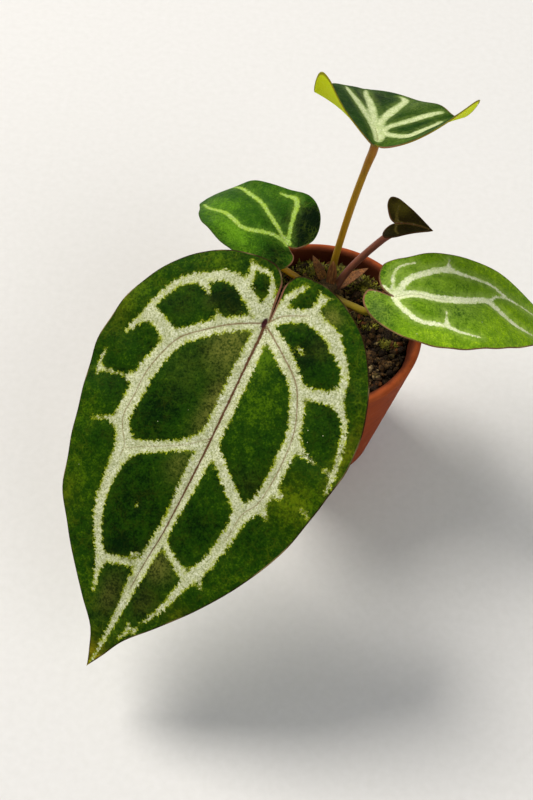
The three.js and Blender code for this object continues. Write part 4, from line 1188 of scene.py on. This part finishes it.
YOUNG_COLOURS = dict(FRONT_COLOURS,
    dark=(20, 15, 4), green=(38, 31, 8), bright=(70, 62, 18), haze=(78, 72, 30), warm=(90, 70, 30),
    fringe=(88, 76, 30), silver=(98, 84, 40), silver_dark=(72, 60, 26), pit=(60, 48, 20),
    line=(88, 50, 36), line_grey=(88, 62, 40), margin=(60, 36, 22), margin_pale=(86, 60, 34),
    under=(74, 66, 24), under_vein=(98, 80, 42), raggedness=0.3, knot=0.0, softness=0.4, quilt=0.5,
    texture=0.3,
)
add_blade("blade_young", "leaf_new", YOUNG, YOUNG_VEINS, YOUNG_LINES, YOUNG_PATCHES, [],
          velvet_material("velvet_young", YOUNG_COLOURS), "young_blade")


# Stalks
# Round fleshy stalks that rise from the crown, flared at the foot, with a swollen knee that
# carries the blade and lets it turn to the light.
BLADE_SOLID = 0.9
SEAT_GAP = 0.3
SEAT_Y = 1.5
FLARE_END = 0.22
KNEE_START = 0.8
STALK_RINGS = 110
STALK_SIDES = 28
STALK_BITE = 0.1
GROOVE_DEPTH = 0.1
GROOVE_ANGLE = 0.35
# For each stalk: its blade and the blade's veins, its route from the crown, and its radius at the
# foot, at the waist and at the knee
STALKS = {
    "stalk_front": (FRONT, FRONT_VEINS, [(1.4, 15, 96), (-6, -6, 117), (-15, -31, 139)], 2.9, 2.1, 2.7),
    "stalk_right": (RIGHT, RIGHT_VEINS,
                    [(7.2, 16.2, 95), (16, 7, 102), (22.5, -5, 114), (28, -12, 127)], 2.6, 1.9, 2.3),
    "stalk_left": (LEFT, LEFT_VEINS,
                   [(-2.5, 20.2, 95), (-12.5, 24.5, 98.5), (-23, 26, 106), (-25, 25, 116)],
                   2.5, 1.7, 2.1),
    "stalk_back": (BACK, BACK_VEINS,
                   [(3.4, 25, 99), (6, 27.6, 125), (10, 29.2, 158), (13.8, 29, 184)], 2.6, 1.8, 2.1),
    "stalk_new": (YOUNG, YOUNG_VEINS, [(7, 22.5, 97), (13.4, 29, 105), (28.7, 33.4, 126.5)],
                  2.4, 1.9, 1.7),
}


def route_curve(points, steps):
    """A smooth route whose slopes are scaled by the square root of the chords beside them, with
    its two ends drawn on in a straight line, and its points spread evenly along its length."""
    points = np.array(points, float)
    points = np.concatenate([[2 * points[0] - points[1]], points, [2 * points[-1] - points[-2]]])
    place = np.linspace(0, len(points) - 3, 400)
    span = np.minimum(place.astype(int), len(points) - 4)
    share = (place - span)[:, None]
    before, start, end, after = (points[span + k] for k in range(4))
    chords = [np.sqrt(np.linalg.norm(b - a, axis=1, keepdims=True))
              for a, b in ((before, start), (start, end), (end, after))]
    leave = (start - before) / chords[0] - (end - before) / (chords[0] + chords[1])
    leave = (leave + (end - start) / chords[1]) * chords[1]
    arrive = (end - start) / chords[1] - (after - start) / (chords[1] + chords[2])
    arrive = (arrive + (after - end) / chords[2]) * chords[1]
    return even(cubic(start, end, leave, arrive, share), steps)


def tube(path, radius, sides):
    """A closed tube: round each point of the path a ring in the plane across the path, from one
    level direction that is made square to the path. A shallow groove runs along one side, and a
    last ring of no width closes each end."""
    slope = np.gradient(path, axis=0)
    slope /= np.linalg.norm(slope, axis=1, keepdims=True)
    chord = path[-1] - path[0]
    level = np.cross(chord, (0, 0, 1.0))
    side = level - (slope @ level)[:, None] * slope
    side /= np.linalg.norm(side, axis=1, keepdims=True)
    lift = np.cross(slope, side)
    angle = 2 * np.pi * np.arange(sides) / sides
    groove = 1 - GROOVE_DEPTH * np.exp(-((angle - np.pi / 2) / GROOVE_ANGLE) ** 2)
    ring = (radius[:, None] * groove)[..., None]
    outward = np.cos(angle)[:, None] * side[:, None] + np.sin(angle)[:, None] * lift[:, None]
    ends = np.broadcast_to(path[[0, -1], None], (2, sides, 3))
    points = np.concatenate([ends[:1], path[:, None] + ring * outward, ends[1:]])
    return points, grid_faces(len(points), sides, ring=True)[:, ::-1]


def stalk_material(name, foot, middle, top, spots):
    """Smooth green-brown skin: it changes from foot to knee, with fine long streaks and dots."""
    material, tree, shader = new_material(name, 0.42)
    along = attribute(tree, "along")
    drift = (noise(tree, 9, 3) - 0.5) * 0.35 + along
    colour = mix_colours(ease(drift, 0.02, 0.4), foot, middle)
    colour = mix_colours(ease(drift, 0.74, 0.98), colour, top)
    streak = noise(tree, 1.0, 3, 0.6, (1, 1, 0.15))
    colour = mix_colours(ease(streak, 0.45, 0.75, 0, 0.45), colour, spots)
    dots = ease(cells(tree, 1.1), 0.2, 0.1)
    colour = mix_colours(dots * 0.35, colour, spots)
    join(shader.inputs["Base Color"], colour)
    add_bump(shader, streak, 0.25, 0.5)
    shader.inputs["Specular IOR Level"].default_value = 0.25
    return material


olive_skin = stalk_material("olive_stalk", (104, 86, 26), (128, 110, 24), (124, 84, 32),
                            (84, 90, 20))
golden_skin = stalk_material("golden_stalk", (104, 92, 14), (170, 124, 16), (158, 98, 28),
                             (122, 98, 12))
rosy_skin = stalk_material("rosy_stalk", (112, 64, 46), (124, 72, 56), (104, 64, 42),
                           (96, 58, 50))
skins = {"stalk_new": rosy_skin, "stalk_back": golden_skin, "stalk_left": golden_skin}
for stalk_name, (leaf, veins, route, base, waist, knee) in STALKS.items():
    seat = (np.zeros(1), np.full(1, SEAT_Y))
    seat_midrib = catmull(veins["midrib"], 6 * len(veins["midrib"]) - 5)
    seat_normal = blade_normal(leaf, *seat, seat_midrib)[0]
    seat_place = on_blade(leaf, *seat, relief(leaf, *seat, seat_midrib))[0]
    stalk_end = seat_place - seat_normal * (BLADE_SOLID / 2 - STALK_BITE)
    stalk_below = seat_place - seat_normal * (BLADE_SOLID / 2 + SEAT_GAP + 2 * knee)
    stalk_path = route_curve([*route, stalk_below, stalk_end], STALK_RINGS)
    share = np.linspace(0, 1, STALK_RINGS)
    flare = np.maximum(0, 1 - share / FLARE_END) ** 2
    swell = np.sin(np.maximum(0, (share - KNEE_START) / (1 - KNEE_START)) * np.pi * 0.6)
    stalk_radius = waist + (base - waist) * flare + (knee - waist) * swell
    stalk_points, stalk_quads = tube(stalk_path, stalk_radius, STALK_SIDES)
    along = np.repeat(np.concatenate([[0], share, [1]]), STALK_SIDES)
    stalk_points, stalk_faces, kept = weld(stalk_points.reshape(-1, 3), stalk_quads)
    skin_slot = "rosy_stalk" if stalk_name == "stalk_new" else "olive_stalk"
    add_piece(stalk_name + "_skin", stalk_points, stalk_faces, skins.get(stalk_name, olive_skin),
              skin_slot, [stalk_name], {"along": along[kept]})


# Scale leaves
# Dry papery sheaths that wrapped each leaf before it opened, left standing round the crown.
SCALE_OUTLINE = [(0.75, 0), (1, 0.3), (0.8, 0.6), (0.4, 0.85)]
# Where each starts, its heading, pitch and arch in degrees, its length and half its width
SCALES = {
    "scale_back": ((4, 20.8, 100.5), 260, -95, 8, 19, 2.6),
    "scale_left": ((0.3, 27, 97), 116, -16, 12, 15, 2.6),
    "scale_right": ((8, 26, 92.5), 42, -13, 22, 22, 3),
}
paper = fibre_material("dry_scale", (66, 34, 14), (140, 84, 36), (184, 128, 68), 0.75)
for scale_name, (junction, heading, pitch, arch, length, half_width) in SCALES.items():
    outline = [(width * half_width, along * length) for width, along in SCALE_OUTLINE]
    scale = dict(
        junction=junction, heading=heading, pitch=pitch, roll=0, arch=arch, length=length,
        half_width=half_width, fold=0.3, cup=4, channel=0, funnel=0, funnel_radius=1, lobe_rise=0,
        curl=None, waves=[], notch=(0, -0.12 * length),
        plus_side=outline, minus_side=[(-x, y) for x, y in outline],
        columns=80, rows=12, under_rows=10, knot_x=0, lateral=5,
    )
    scale_veins = dict(midrib=[(0, 0, 0.4), (0, length / 2, 0.3), (0, length * 0.9, 0.2)])
    add_blade(scale_name + "_paper", scale_name, scale, scale_veins, {}, [], [], paper, "dry_scale")
